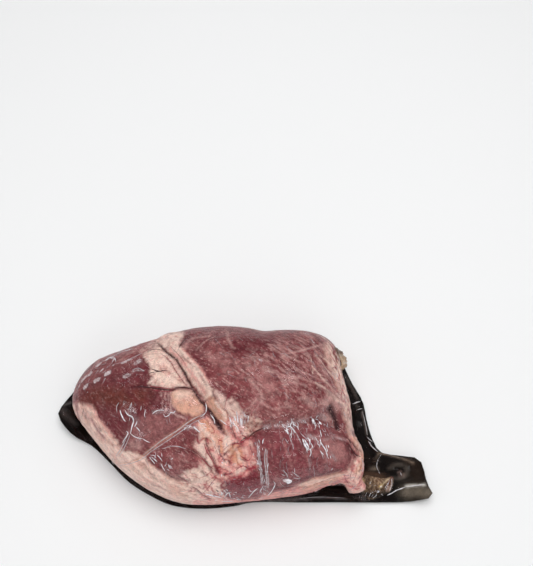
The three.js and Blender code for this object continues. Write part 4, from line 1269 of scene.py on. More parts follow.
edge_uses = {}
for face in film.data.polygons:
    for key in face.edge_keys:
        edge_uses[key] = edge_uses.get(key, 0) + 1
rim_edges = {key for key, uses in edge_uses.items() if uses == 1}
rim = sorted({v for key in rim_edges for v in key})
start = places_of(film)[rim]
angles = np.arctan2(start[:, 1] - SHEET_MIDDLE[1], start[:, 0] - SHEET_MIDDLE[0])
radii = np.linalg.norm(start[:, :2] - SHEET_MIDDLE, axis=1)
reach = np.maximum(sheet_radius(angles) * MARGIN_END, radii + MARGIN_LEAST)
width = np.minimum(SKIRT_WIDTH, SKIRT_SHARE * (reach - radii))
print(f"{len(rim)} rim vertices; margin {((reach - radii) / MM).min():.0f} to "
      f"{((reach - radii) / MM).max():.0f} mm")

# %% [markdown]
# Extruding in place makes each new ring lie exactly on the rim. So every new vertex can be
# found by its place, and is then moved to where its ring belongs. Small pleats gather in it.

# %% Extrude the rings
PLEAT = 1.2 * MM

only(film)
bpy.ops.object.mode_set(mode="EDIT")
bpy.ops.mesh.select_mode(type="EDGE")
bpy.ops.mesh.select_all(action="DESELECT")
bpy.ops.object.mode_set(mode="OBJECT")
for edge in film.data.edges:
    edge.select = edge.key in rim_edges
bpy.ops.object.mode_set(mode="EDIT")
rings = SKIRT_RINGS + MARGIN_RINGS
for _ in range(rings):
    bpy.ops.mesh.extrude_edges_move()
bpy.ops.object.mode_set(mode="OBJECT")

# Each new vertex still lies on the rim vertex it came from, which says its direction.
skin = places_of(film)
first_new = len(skin) - rings * len(rim)
direction = np.stack([np.cos(angles), np.sin(angles)], 1)
lookup = {tuple(place): i for i, place in enumerate(start)}
pleats = clouds(np.column_stack([direction, 0 * angles]), 0.05, 40)
for ring in range(rings):
    own = np.arange(first_new + ring * len(rim), first_new + (ring + 1) * len(rim))
    turn = np.array([lookup[tuple(place)] for place in skin[own]])
    if ring < SKIRT_RINGS:
        share = ((ring + 1) / SKIRT_RINGS) ** 1.5
        out = width * share
    else:
        share = 1.0
        out = width + (reach - radii - width) * (ring + 1 - SKIRT_RINGS) / MARGIN_RINGS
    plan = SHEET_MIDDLE + direction * (radii + out)[:, None]
    low = np.array([height_of_sheet(x, y) for x, y in plan]) + SKIRT_GAP
    pleat = PLEAT * pleats * math.sin(math.pi * share) * (ring < SKIRT_RINGS)
    high = low + (start[:, 2] - low) * (1 - share) ** 3 + pleat
    skin[own] = np.column_stack([plan, np.maximum(high, low)])[turn]
place_all(film, skin)
bpy.ops.object.mode_set(mode="EDIT")
bpy.ops.mesh.select_all(action="SELECT")
bpy.ops.mesh.normals_make_consistent(inside=False)
bpy.ops.object.mode_set(mode="OBJECT")
if normals_of(film)[:, 2].mean() < 0:  # an open skin has no inside, so this is checked
    film.data.flip_normals()
bpy.ops.object.shade_smooth()
report(film)

# %% [markdown]
# ## Folds of the film and their painted highlights
#
# Where there is too much film it doesn't shrink away but stands up in thin folds. Their white lines
# are painted highlights: each fold is a white thread like the veins, half sunk in the skin, white
# where a lamp's gleam would lie. The large ones are drawn here one by one.

# %% Painted glints and fold highlights drawn one by one
GLINTS = {  # place: [(radius mm, pixels), ...]
    "left lobe": [
        (0.7, [(120, 410), (121, 414), (124, 420), (126, 421.5)]),
        (0.8, [(125, 411), (128, 415), (132, 417), (133.5, 421), (132, 426), (130.5, 433)]),
        (0.5, [(137, 421), (136, 424), (134.5, 427)]),
        (0.4, [(136, 427), (138, 429), (140, 431.5)]),
        (0.6, [(126, 431), (128, 433.5), (124, 440), (122.5, 443)]),
        (0.4, [(130, 433), (134, 436.5), (138, 438), (142.5, 438.5)]),
        (0.5, [(143, 439), (147, 441.5), (150, 442.5)]),
        (0.45, [(152.5, 414), (155.3, 411.4), (159.8, 410), (164.4, 410.5)]),
        (0.45, [(163.5, 414), (165.3, 416.8), (169, 415), (170.7, 412.3), (173.5, 413),
                (175.3, 410.5)]),
        (0.45, [(164, 405), (165.3, 407)]), (0.4, [(141.2, 406), (140.7, 410.5)]),
        (0.4, [(145.3, 409.5), (144.4, 415), (145.3, 417.7)]),
        (0.5, [(131.6, 402.3), (130.7, 406.8)]),
        (0.8, [(104, 379.5), (105.5, 378)]), (0.5, [(107, 386.5), (107.7, 385)]),
        (0.5, [(87, 392.8), (88, 391.8)]), (0.4, [(136.3, 375), (137, 374)]),
        (0.4, [(117, 382.8), (117.5, 382)]), (0.35, [(124.5, 382.8), (125.3, 382)]),
        (0.5, [(106, 360.5), (109, 357.5), (112, 358.5)]),
        (0.4, [(112, 361.5), (115, 358.5), (115.5, 361.5)])],
    "long crease": [
        (0.6, [(205.5, 402.7), (206.4, 407.7), (206, 412.3)]),
        (0.35, [(206, 412), (203, 415.5), (200, 417)]),
        (0.5, [(184, 430), (186, 427)]), (0.7, [(193, 426.5), (197, 430), (200, 432.5)]),
        (0.5, [(198, 420), (200, 423), (205, 424)]), (0.5, [(188.5, 428), (190.5, 425.5)])],
    "near muscle": [
        (0.5, [(157, 455), (160, 458), (162, 461)]), (0.5, [(161, 464), (163, 468), (165, 471)]),
        (0.4, [(149, 457), (155, 464)]), (0.35, [(151, 456.5), (157, 462)]),
        (0.4, [(171, 459.5), (173, 458)]), (0.35, [(164.5, 466), (167, 463.5)])],
    "pit": [
        (0.6, [(210.5, 414.5), (214, 419.5), (215, 424)]),
        (0.6, [(219.5, 419.5), (224, 423), (226.8, 425)]),
        (0.8, [(234, 416), (236, 421.4)]), (0.9, [(237, 415), (238.2, 423)]),
        (0.8, [(229.5, 417), (231.5, 424)]), (0.45, [(232.3, 423), (236.8, 426.8), (239.5, 432.3)]),
        (1.4, [(240.5, 418.5), (241.5, 422), (241.5, 425)]), (0.6, [(248.6, 416), (247.7, 422.3)]),
        (0.7, [(221.4, 461.8), (223.2, 463.6)]), (0.5, [(253.6, 453), (253.2, 456)])],
    "near edge": [
        (0.6, [(221.4, 474), (221.8, 477)]), (0.8, [(205, 494), (212.3, 496), (221.4, 497.7)]),
        (0.6, [(221.4, 492.5), (222, 496.5)]), (0.6, [(225, 496), (228.6, 493), (230.5, 497.7)]),
        (0.5, [(221.4, 501.5), (234, 501.3)]), (0.5, [(236, 499.5), (241.4, 500)]),
        (0.6, [(248.6, 497.7), (254, 491.4), (257.7, 488.6)]), (0.5, [(259.5, 493), (263, 486)])],
    "fold between the lobes": [
        (1.2, [(286.4, 428.6), (288.2, 434)]),
        (0.9, [(287.3, 427.3), (290, 426.4), (292.7, 428.6), (295.5, 433)]),
        (0.7, [(292.7, 424), (295.5, 425.5), (297.3, 427)]), (0.5, [(301, 421.5), (302, 423)]),
        (0.5, [(304, 422), (306, 423.2)]), (1.4, [(312.7, 418.6), (313.5, 421), (314.5, 424)]),
        (1.1, [(319, 421.4), (321.8, 424.5)]), (0.5, [(319, 425), (319.5, 427.7)]),
        (0.5, [(320, 430), (321.8, 436.8)]), (0.6, [(282, 424), (284, 427)])],
    "lower lobe": [
        (1.1, [(302.7, 438.6), (304.5, 444), (308.2, 450.5)]),
        (0.75, [(304.5, 439.5), (306.4, 443), (309, 447.7)]),
        (0.7, [(320, 439.5), (321.8, 444), (325.5, 449.5), (327.3, 456)]),
        (0.6, [(320, 450.5), (323.6, 455)]),
        (0.7, [(328.2, 445), (329, 447.7)]), (0.4, [(330, 455.5), (331, 458.6)]),
        (0.6, [(262.7, 444), (262.9, 440.5), (264, 438.6)]), (3.0, [(285.5, 480.4), (290, 481)]),
        (2.6, [(286.5, 482.2), (291, 482.6)]), (1.6, [(290, 480), (291.5, 482)]),
        (0.55, [(273.6, 481.4), (275, 485), (271, 492.3), (267.3, 496)]),
        (0.4, [(331, 470.5), (333, 468)])],
    "base": [
        (0.5, [(364, 464), (364.6, 467.5)]),
        (0.5, [(363.4, 468.5), (362.4, 472)]),
        (0.8, [(332, 486), (333, 487)])],
}
FOLD_HIGHLIGHTS = {  # the same
    "left lobe": [
        (0.4, [(131.5, 405), (129.5, 408), (131, 412)]),
        (0.45, [(119, 402.3), (116.6, 406.8), (117, 413)]),
        (0.45, [(128, 434), (124, 443), (120, 450), (116, 456)]),
        (0.4, [(130, 435), (126, 444), (122.5, 451), (118, 457)]),
        (0.3, [(112, 357), (120, 352.5), (128, 350), (134, 348.6)]),
        (0.28, [(116, 364), (124, 361.5), (132, 358), (142, 353)]),
        (0.3, [(134, 346.5), (141, 343.2), (149, 340.3)]),
        (0.4, [(132, 370), (138, 368), (144, 371)])],
    "long crease": [
        (0.5, [(204, 413.7), (190, 421), (178, 430), (163, 439.5), (150, 449.5), (143, 455)]),
        (0.45, [(205, 417), (192, 423.5), (178, 433.5), (164, 443), (150, 452.4), (142, 459),
                (132, 463), (122, 465), (114, 464.8)]),
        (0.35, [(114, 464.5), (112, 461.5), (113, 458)])],
    "creases down the lower lobe": [
        (0.38, [(257.3, 441.5), (258.2, 456), (260, 468.6), (261.8, 485)]),
        (0.35, [(259.2, 452), (261, 468), (263.2, 484)]),
        (0.38, [(265.5, 448.6), (264.5, 459.5), (266, 473), (267.3, 488)]),
        (0.35, [(267.3, 450.5), (266.9, 459.5), (268, 476), (268.8, 488)]),
        (0.3, [(293.6, 428.6), (298.2, 436.8), (301.8, 445)]),
        (0.3, [(288, 432), (291, 440), (294, 450)]),
        (0.35, [(282.7, 470), (286.4, 474), (288.2, 478)]), (0.35, [(292, 472), (299, 477)]),
        (0.3, [(293, 478), (299, 479)]), (0.35, [(285.4, 438.5), (286.5, 441), (288.6, 444)])],
    "right of the lower lobe": [
        (0.35, [(361.5, 458), (363.4, 464), (362.5, 470)])],
    "near roll": [
        (0.35, [(162, 449), (170, 446.4), (178, 446.5), (186, 449)])],
}

# %% [markdown]
# The small ones cover whole areas, so they are scattered by a rule: so many, so thick, so long,
# along such a direction. A seeded draw picks their places, and every run picks the same.

# %% Small painted highlights scattered over areas
FOLD_SINK, WRINKLE_SINK = 0.35, 0.45  # of its radius, how deep each lies in the skin


def within(spot, outline):
    inside = False
    for a, b in zip(outline, outline[1:] + outline[:1]):
        if (a[1] > spot[1]) != (b[1] > spot[1]):
            inside ^= spot[0] < a[0] + (spot[1] - a[1]) * (b[0] - a[0]) / (b[1] - a[1])
    return inside


def scattered(seed, count, radii, lengths, direction, spread, outline):
    """Short curved threads inside an outline: radii in mm, lengths in pixels, spread in
    degrees about a direction in the photograph."""
    draw = np.random.default_rng(seed)
    low, high = np.min(outline, axis=0), np.max(outline, axis=0)
    found = []
    while len(found) < count:
        middle = draw.uniform(low, high)
        if not within(middle, outline):
            continue
        turn = math.atan2(direction[1], direction[0]) + math.radians(draw.normal(0, spread))
        half = draw.uniform(*lengths) / 2
        along = np.array([math.cos(turn), math.sin(turn)])
        bow = np.array([-along[1], along[0]]) * half * draw.normal(0, 0.22)
        ends = [middle - along * half, middle + bow, middle + along * half]
        found.append((draw.uniform(*radii), [tuple(p) for p in ends]))
    return found


# painted highlights: short white threads scattered where the film glitters
SPARKLES = {  # name: (count, radii mm, lengths px, direction, spread, outline)
    "fold band": (26, (0.15, 0.32), (1.5, 4), (0.15, 1), 25, [
        (262, 424), (284, 421), (308, 416), (311, 421), (285, 427.5), (264, 430)]),
    "first cluster": (12, (0.25, 0.7), (3, 8), (0.35, 1), 16, [
        (283, 424), (292, 423), (300, 427), (299, 436), (292, 440), (286, 434)]),
    "second cluster": (12, (0.25, 0.65), (3, 9), (0.32, 1), 14, [
        (302, 435), (312, 438), (316, 446), (312, 456), (304, 448)]),
    "third cluster": (10, (0.2, 0.5), (3, 8), (0.3, 1), 18, [
        (316, 434), (324, 438), (329, 446), (331, 458), (322, 456), (317, 446)]),
    "right end of the fold": (8, (0.2, 0.5), (2, 5), (0.3, 1), 25, [
        (310, 415), (320, 416), (323, 426), (312, 425)]),
    "pit": (16, (0.15, 0.35), (2, 5), (0.2, 1), 45, [
        (228, 413), (246, 411), (249, 424), (237, 433), (226, 424)]),
    "below the hollow": (34, (0.18, 0.45), (1.5, 4.5), (1, 0.3), 45, [
        (208, 491), (222, 489), (240, 492), (262, 487), (270, 492), (262, 499), (212, 501)]),
    "squiggle": (4, (0.12, 0.25), (3, 6), (0.3, 1), 40, [
        (117, 404), (130, 402), (138, 414), (134, 434), (124, 428)]),
    "near muscle": (10, (0.15, 0.3), (3, 7), (0.55, 1), 20, [
        (149, 453), (161, 452), (171, 466), (167, 473), (153, 464)]),
    "tip of the crease": (7, (0.15, 0.3), (2, 5), (0.7, 1), 30, [
        (184, 424), (204, 416), (207, 426), (196, 434)]),
    "down the creases": (22, (0.15, 0.36), (1.5, 5), (0.06, 1), 16, [
        (255, 440), (262, 440), (268, 450), (270, 488), (261, 490), (257, 466)]),
    "foot of the lower lobe": (10, (0.12, 0.25), (2, 6), (0.7, 1), 30, [
        (268, 468), (300, 470), (302, 482), (276, 486)]),
}
WRINKLE_HIGHLIGHTS = {  # name: (count, radii mm, lengths px, direction, spread, outline)
    "down the lower lobe": (30, (0.09, 0.18), (5, 14), (0.12, 1), 10, [
        (256, 436), (290, 432), (330, 432), (344, 448), (340, 464), (310, 476), (270, 484)]),
    "bright cluster at the fold": (22, (0.2, 0.4), (2, 6), (0.3, 1), 24, [
        (284, 423), (326, 416), (330, 436), (300, 440), (284, 436)]),
    "round the slit": (14, (0.15, 0.3), (3, 7), (0.5, 1), 35, [
        (322, 404), (344, 404), (350, 436), (330, 440)]),
    "fibres of the upper lobe": (40, (0.1, 0.2), (4, 10), (1, 0.62), 22, [
        (268, 348), (316, 338), (334, 366), (343, 404), (318, 410), (286, 396), (262, 372)]),
    "upper lobe, left": (24, (0.1, 0.2), (3, 8), (1, 0.5), 50, [
        (200, 340), (262, 334), (262, 388), (232, 390), (206, 366)]),
    "top of the left lobe": (14, (0.12, 0.25), (3, 7), (1, -0.75), 18, [
        (78, 388), (90, 366), (108, 354), (120, 356), (112, 374), (98, 388)]),
    "middle of the left lobe": (14, (0.12, 0.22), (3, 8), (0.5, 1), 50, [
        (96, 400), (150, 402), (190, 420), (170, 432), (130, 450), (104, 424)]),
    "near muscle and roll": (14, (0.1, 0.2), (4, 10), (1, 0.62), 26, [
        (120, 452), (150, 446), (196, 452), (214, 478), (216, 500), (170, 498), (136, 478)]),
    "left roll": (6, (0.1, 0.18), (4, 10), (0.55, 1), 24, [
        (80, 408), (92, 408), (116, 444), (128, 464), (112, 458), (90, 430)]),
    "hollow": (34, (0.15, 0.3), (2, 6), (0.3, 1), 60, [
        (196, 420), (250, 424), (258, 460), (246, 482), (214, 478)]),
    "below the hollow": (26, (0.15, 0.34), (2, 5), (0.7, 1), 50, [
        (206, 480), (256, 478), (268, 488), (262, 499), (210, 501)]),
    "strip and flap": (20, (0.12, 0.25), (3, 8), (1, -0.35), 30, [
        (274, 488), (345, 472), (364, 462), (362, 490), (340, 488), (290, 498)]),
    "right edge": (16, (0.12, 0.22), (4, 10), (0.45, 1), 20, [
        (322, 344), (334, 352), (350, 400), (349, 414), (336, 400)]),
}
skin_tree = tree_of(film)
drawn_glints, drawn_fold_highlights = (
    [thread for group in table.values() for thread in group] for table in (GLINTS, FOLD_HIGHLIGHTS))
drawn_glints += [thread for seed, area in enumerate(SPARKLES.values())
                 for thread in scattered(200 + seed, *area)]
glints = lay_threads("film_glints", drawn_glints, skin_tree, sink=FOLD_SINK)
fold_highlights = lay_threads("film_fold_highlights", drawn_fold_highlights, skin_tree, sink=FOLD_SINK)
small_fold_highlights = [thread for seed, area in enumerate(WRINKLE_HIGHLIGHTS.values())
               for thread in scattered(100 + seed, *area)]
wrinkle_highlights = lay_threads("film_wrinkle_highlights", small_fold_highlights, skin_tree, sink=WRINKLE_SINK, sides=1)
print(f"{len(small_fold_highlights)} scattered wrinkles")

# %% [markdown]
# ## The pocket of juice
#
# At the heart's base the two films meet round a small pocket of brown juice, crumpled into
# ribs. It starts as a ball. Each vertex goes to its own place on a drawn outline on the black
# film, the upper half swells and folds into ribs, and the lower half lies flat in the sheet.

# %% Pocket of juice
POCKET_OUTLINE = [(359, 483), (361, 477), (366, 474.5), (373, 476), (380, 477.5), (387, 477.5),
                  (393.5, 476), (394, 483), (391.5, 490), (386, 494.5), (379, 498), (371, 500),
                  (364, 498), (360, 491)]
POCKET_HEIGHT = 3.0 * MM
POCKET_SINK = 0.3 * MM
RIB = 2.2 * MM  # from one rib to the next
RIB_TURN = math.radians(35)

ring = np.array([black_tree.ray_cast(Vector(EYE), sight_line(p))[0]
                 for p in smooth_curve(POCKET_OUTLINE, closed=True)])
pocket_middle = ring.mean(0)
ring_angle = np.arctan2(*(ring - pocket_middle)[:, 1::-1].T)
ring_radius = np.linalg.norm((ring - pocket_middle)[:, :2], axis=1)
in_turn = np.argsort(ring_angle)

bpy.ops.object.select_all(action="DESELECT")
bpy.ops.mesh.primitive_uv_sphere_add(segments=128, ring_count=72, radius=1)
pocket = bpy.context.object
pocket.name = pocket.data.name = "juice_pocket"
ball = places_of(pocket)
angle = np.arctan2(ball[:, 1], ball[:, 0])
part_out = np.linalg.norm(ball[:, :2], axis=1)
radius = np.interp(angle, ring_angle[in_turn], ring_radius[in_turn], period=2 * np.pi) * part_out
plan = pocket_middle[:2] + radius[:, None] * np.stack([np.cos(angle), np.sin(angle)], 1)
flat = np.column_stack([plan, 0 * radius])
rib_way = flat[:, 0] * math.cos(RIB_TURN) + flat[:, 1] * math.sin(RIB_TURN)
rib_way += 1.6 * MM * clouds(flat, 7 * MM, 60)
ribs = 0.5 + 0.5 * np.sin(2 * np.pi * rib_way / RIB)
swell = (1 - part_out**2.6) * (0.75 + 0.5 * clouds(flat, 8 * MM, 61))
top = swell * POCKET_HEIGHT + (1 - part_out**4) * MM * (
    1.1 * ribs - 2.6 * np.abs(clouds(flat, 4 * MM, 62)) + 1.0)
ground = np.array([height_of_sheet(x, y) for x, y in plan]) + np.where(ball[:, 2] >= 0, top, 0)
place_all(pocket, np.column_stack([plan, ground - POCKET_SINK]))
only(pocket)
bpy.ops.object.shade_smooth()
report(pocket)

# %% [markdown]
# The juice is brown with paler and darker clouds, and the crests of its ribs are painted pale, as
# painted highlight. The juice's own dark red and the black film under it are laid along lines, and
# so are the painted highlights and painted shade of its ribs.

# %% Colours of the juice
JUICE, JUICE_CREST_HIGHLIGHT = printed(112, 88, 70), printed(168, 140, 116)
juice = np.tile(JUICE, (len(ball), 1))
for seed, shade_of, strength in ((63, (176, 148, 118), 0.8), (64, (60, 40, 32), 0.9)):
    share = strength * smooth_step(0.05, 0.4, clouds(flat, 4 * MM, seed, 2.0, RIB_TURN))
    juice += share[:, None] * (printed(*shade_of) - juice)
# painted highlight: the crests of the ribs are painted paler
juice += (0.6 * ribs * (top > 1 * MM))[:, None] * (JUICE_CREST_HIGHLIGHT - juice)
# the juice's own dark red and the black film below, with painted highlights and shade along the ribs
POCKET_COLOURS_AND_LIGHTS = [  # (half width mm, strength, colour, pixels)
    (4.2, 0.95, (14, 10, 9), [(362, 494), (370, 495.5), (379, 496), (386, 493)]),
    (1.8, 0.8, (30, 20, 18), [(382, 489), (385, 484)]),
    (1.2, 0.9, (84, 22, 24), [(389, 484), (390, 480), (391.5, 477.5)]),
    (0.9, 0.9, (216, 190, 156), [(380, 489), (384, 483), (389, 478.5)]),
    (0.8, 0.9, (206, 176, 120), [(379.5, 487), (381.5, 484.5)]),
    (0.7, 0.8, (118, 90, 72), [(382, 490), (386, 484.5), (391, 478.5)]),
    (0.7, 0.9, (172, 146, 140), [(386.5, 491), (388.5, 486)]),
    (0.8, 0.9, (18, 12, 11), [(391.5, 488), (393, 481)]),
    (0.7, 0.8, (170, 150, 146), [(389.5, 490.5), (391.6, 484), (392, 479)]),
    (0.9, 0.8, (196, 164, 104), [(362, 478.5), (363, 480.5)]),
    (0.7, 0.8, (196, 160, 110), [(361, 485), (362, 487)]),
    (1.0, 0.6, (70, 48, 36), [(368, 476), (366, 484), (368, 489)]),
    (0.8, 0.7, (168, 144, 118), [(371, 480), (370, 487)]),
    (0.8, 0.7, (160, 134, 108), [(375, 479), (374, 488)]),
    (0.8, 0.6, (72, 50, 38), [(373, 479), (372, 488)]),
    (0.8, 0.6, (80, 56, 44), [(377, 480), (376.5, 487)]),
]
shaded_along(POCKET_COLOURS_AND_LIGHTS, juice, places_of(pocket), tree_of(pocket))
# the juice colours also carry the painted highlights and shade of the ribs
keep_colours(pocket, "juice", juice)
print(len(POCKET_COLOURS_AND_LIGHTS), "lights and darks")

# %% [markdown]
# Painted highlights, white threads, lie on the film over the pocket along its ribs, and on the black
# film along its ridges.

# %% Glints of the pocket and the ridges
POCKET_GLINTS = [  # (radius mm, pixels)
    (0.7, [(364, 487.5), (365.5, 486)]), (0.5, [(366.5, 488), (367, 486)]),
    (1.3, [(377, 492.5), (379.5, 491.5)]),
    (0.8, [(377.5, 490.3), (379.5, 491)]), (0.4, [(380.5, 493), (383, 495.5)]),
    (0.6, [(383, 497), (384.5, 496)]),
    (0.5, [(380, 487.5), (382.5, 484.5)]), (0.4, [(369.5, 485.5), (371, 481)]),
    (0.4, [(386, 490), (389.5, 480)]),
    (0.35, [(391.5, 479), (391.8, 485), (390, 490)]), (0.4, [(384.5, 489), (388, 483)]),
    (0.4, [(369, 497), (371, 493), (373.5, 492)]), (0.4, [(373, 498), (376, 496), (376.5, 493.5)]),
    (0.35, [(365, 496), (367, 492.5)]), (0.5, [(386.5, 496), (389.5, 494.5)]),
]
RIDGE_GLINTS = [
    (0.75, [(387, 495.4), (392, 493), (396.4, 490.4), (401.4, 488.6), (405.7, 486.8)]),
    (0.5, [(405.7, 486.8), (416.4, 485.4), (424.3, 484.3)]),
    (0.5, [(400.4, 472.5), (401.6, 475.5)]),
    (0.6, [(352.4, 404), (356.5, 402.5), (360.4, 401.5)]),
    (0.6, [(368.2, 440.9), (372.3, 447), (378, 451.9)]),
    (0.4, [(357.2, 409.7), (362, 408.5)]),
    (0.3, [(362.3, 411), (365.3, 423), (367.4, 435.3)]),
    (0.35, [(366.6, 436.6), (370.5, 440.3), (374.3, 442.8)]),
    (0.35, [(381.4, 454), (378, 460), (376.8, 466.7), (380, 474)]),
    (0.3, [(299, 498.5), (320, 497), (345, 498)]),
]
POCKET_GLINTS += scattered(300, 14, (0.12, 0.28), (1, 3), (0.6, -1), 35, [
    (362, 478), (372, 477), (390, 480), (389, 490), (378, 496), (366, 497)])
pocket_glints = lay_threads("pocket_glints", POCKET_GLINTS, tree_of(pocket), sink=FOLD_SINK)
ridge_glints = lay_threads("ridge_glints", RIDGE_GLINTS, black_tree, sink=FOLD_SINK)

# %% [markdown]
# ## The tuft
#
# High at the right edge a gathered scrap of the clear film sticks out. It is a grid: across
# it runs the width, down it the length, and pleats go along it.

# %% Tuft of film
TUFT_ROOT = [(334, 347), (337, 353), (340, 359), (341.5, 364), (340, 370)]
TUFT_EDGE = [(335, 347), (340, 350), (344, 355), (346.5, 361), (346.5, 366), (342, 371)]
TUFT_PLEAT = 1.1 * MM

bpy.ops.object.select_all(action="DESELECT")
bpy.ops.mesh.primitive_grid_add(x_subdivisions=28, y_subdivisions=60, size=1)
tuft = bpy.context.object
tuft.name = tuft.data.name = "film_tuft"
grid = places_of(tuft)
width_share, length_share = grid[:, 0] + 0.5, grid[:, 1] + 0.5


def along_curve(pixels, shares):
    curve = smooth_curve(pixels)
    where = np.linspace(0, 1, len(curve))
    return np.stack([np.interp(shares, where, curve[:, k]) for k in range(2)], 1)


root, edge = along_curve(TUFT_ROOT, length_share), along_curve(TUFT_EDGE, length_share)
ragged = 1 + 0.45 * clouds(np.stack([0 * grid[:, 0], grid[:, 1], 0 * grid[:, 0]], 1), 0.13, 71)
pixels = root + (edge - root) * (width_share * ragged)[:, None]
reached = [skin_tree.ray_cast(Vector(EYE), sight_line(p)) for p in TUFT_ROOT]
tuft_distance = np.mean([hit[3] for hit in reached if hit[0] is not None])
pleats = np.sin(2 * np.pi * (4.2 * length_share + 1.5 * width_share))
depth = tuft_distance + width_share * TUFT_PLEAT * (pleats + 1.5 * clouds(grid, 0.3, 70))
lines = np.array([sight_line(p) for p in pixels])
place_all(tuft, EYE + lines * depth[:, None])
only(tuft)
bpy.ops.object.shade_smooth()
report(tuft)

# %% [markdown]
# ## Milky places and painted sheens in the film
#
# Where the film has shrunk hard, or doesn't touch the meat, it is milky instead of clear. Most of
# the white laid here, though, is painted sheen and painted highlight: the blotches at the top left
# and on the lower lobe, and the soft sheens along the fold, in the pit and on the lobes. The film
# carries one attribute for both: 0 is clear and 1 is white, and over the black sheet it is a little
# below 0, because there the film is clearer still.

# %% Milk and painted sheen in the film
SKIRT_MILK = -0.045
# painted sheen: pale blotches with a clear edge, laid as milky film
SHEEN_BLOTCHES = [  # (half width mm, strength, pixels), with a clear edge
    (1.9, 0.7, [(84.5, 387.5), (87, 385.3)]), (2.1, 0.9, [(95.5, 380.6), (98.5, 379.4)]),
    (1.7, 0.6, [(82.5, 380), (86, 376.5)]), (1.8, 0.7, [(89.5, 374.5), (91.5, 372.5)]),
    (1.6, 0.55, [(88, 368.5), (90, 366)]), (1.8, 0.6, [(97, 366), (99.5, 363.8)]),
    (2.1, 0.8, [(106.5, 373.8), (109, 372.6)]), (2.2, 0.5, [(125, 376.5), (129, 375)]),
    (1.4, 0.6, [(106, 360), (111, 357.5), (115, 359)]), (2.2, 0.5, [(136, 363), (139, 361)]),
    (1.2, 0.4, [(133, 371.5), (138, 370), (143, 371)]),
    (1.3, 0.5, [(122, 363), (127, 361), (132, 358.5)]),
    (1.0, 0.6, [(78, 388), (80, 384)]), (0.9, 0.6, [(100, 372), (103, 369)]),
    (0.8, 0.5, [(112, 366), (115, 364)]),
    (1.0, 0.7, [(118, 352), (122, 350.5)]), (1.0, 0.6, [(126, 351), (131, 349)]),
    (0.8, 0.5, [(96, 373), (98, 371)]),
    (2.0, 0.8, [(285.5, 480.5), (289.5, 481.5)]), (1.2, 0.5, [(238, 415), (239, 420)]),
    (1.0, 0.6, [(259.5, 359.5), (261.5, 360.5)]), (0.9, 0.6, [(243, 412), (246, 417)]),
    (0.9, 0.7, [(306, 334), (309, 333)]), (0.7, 0.6, [(312, 340), (314, 343)]),
    (0.8, 0.5, [(292, 331), (296, 330.5)]),
]
# painted sheen: soft pale sheens along the fold, in the pit and on the lobes
PAINTED_SHEENS = [  # the same, with a soft edge
    (2.6, 0.26, [(264, 427), (273, 426), (283, 425), (291, 423), (299, 421), (307, 419.5)]),
    (2.0, 0.5, [(240.5, 416), (241.5, 421), (241, 426)]),
    (1.6, 0.35, [(230, 416), (233, 421), (235, 427)]),
    (2.2, 0.4, [(184, 429), (192, 427), (202, 430)]),
    (3.5, 0.18, [(130, 410), (136, 420), (142, 432)]),
    (2.6, 0.3, [(154, 412), (164, 411), (174, 412)]), (3.0, 0.2, [(318, 414), (330, 426)]),
    (3.0, 0.3, [(309, 436), (316, 438)]),
    (2.0, 0.12, [(206, 495), (214, 496), (224, 498), (236, 500)]),
    (1.6, 0.3, [(324, 440), (334, 437.5), (346, 440)]),
    (1.4, 0.35, [(258, 446), (260, 464), (262.5, 484)]),
    (1.2, 0.35, [(266, 450), (265.8, 466), (267.6, 486)]), (2.0, 0.25, [(330, 452), (336, 460)]),
]
film_wavy = skin + 0.4 * MM * clouds(skin, 3 * MM, 50)[:, None]
milk_and_sheen = 0.06 * smooth_step(0.1, 0.5, clouds(skin, 9 * MM, 51, 2.0, FIBRE_TURN))
for table, low, high in ((SHEEN_BLOTCHES, 0.25, 0.5), (PAINTED_SHEENS, 0.0, 1.0)):
    for width, strength, pixels in table:
        which, close = nearness(pixels, width * MM, film_wavy, skin_tree)
        milk_and_sheen[which] = np.maximum(milk_and_sheen[which], strength * smooth_step(low, high, close))
milk_and_sheen[first_new:] = SKIRT_MILK
keep_values(film, "milk_and_sheen", milk_and_sheen)
print(f"{np.mean(milk_and_sheen > 0.2):.1%} of the film is milky")

# %% [markdown]
# # Materials
#
# Every surface here is wet or drawn tight, so gloss matters as much as colour. Small helpers
# keep the node trees readable: one adds a node and feeds its sockets, some make the sums and
# mixes that come up again and again, and one dresses a shader by the names of its sockets.

# %% Helpers for node trees


def feed(tree, socket, value):
    if isinstance(value, bpy.types.Node):
        value = value.outputs[0]
    if isinstance(value, bpy.types.NodeSocket):
        tree.links.new(value, socket)
    else:
        socket.default_value = value


def feed_all(tree, sockets, settings):
    """Feeds sockets by their names, in which _ stands for a space."""
    for name, value in settings.items():
        feed(tree, sockets[name.replace("_", " ")], value)


def node(tree, kind, *values, **settings):
    """A new node. Values fill its sockets in order, Capitalised settings fill them by name,
    and the others are its own properties."""
    made = tree.nodes.new("ShaderNode" + kind)
    for name, value in settings.items():
        if name[0].isupper():
            feed_all(tree, made.inputs, {name: value})
        else:
            setattr(made, name, value)
    for socket, value in zip(made.inputs, values):
        feed(tree, socket, value)
    return made


def maths(tree, operation, first, *others):
    """One operation on two values, or on more in turn."""
    for other in others:
        first = node(tree, "Math", first, other, operation=operation).outputs[0]
    return first


def times(tree, *factors):
    return maths(tree, "MULTIPLY", *factors)


def plus(tree, *terms):
    return maths(tree, "ADD", *terms)


def step_between(tree, value, low, high, least=0.0, most=1.0):
    """0 below low, 1 above high, or least and most, with a soft start and end."""
    return node(tree, "MapRange", value, low, high, least, most,
                interpolation_type="SMOOTHSTEP").outputs[0]


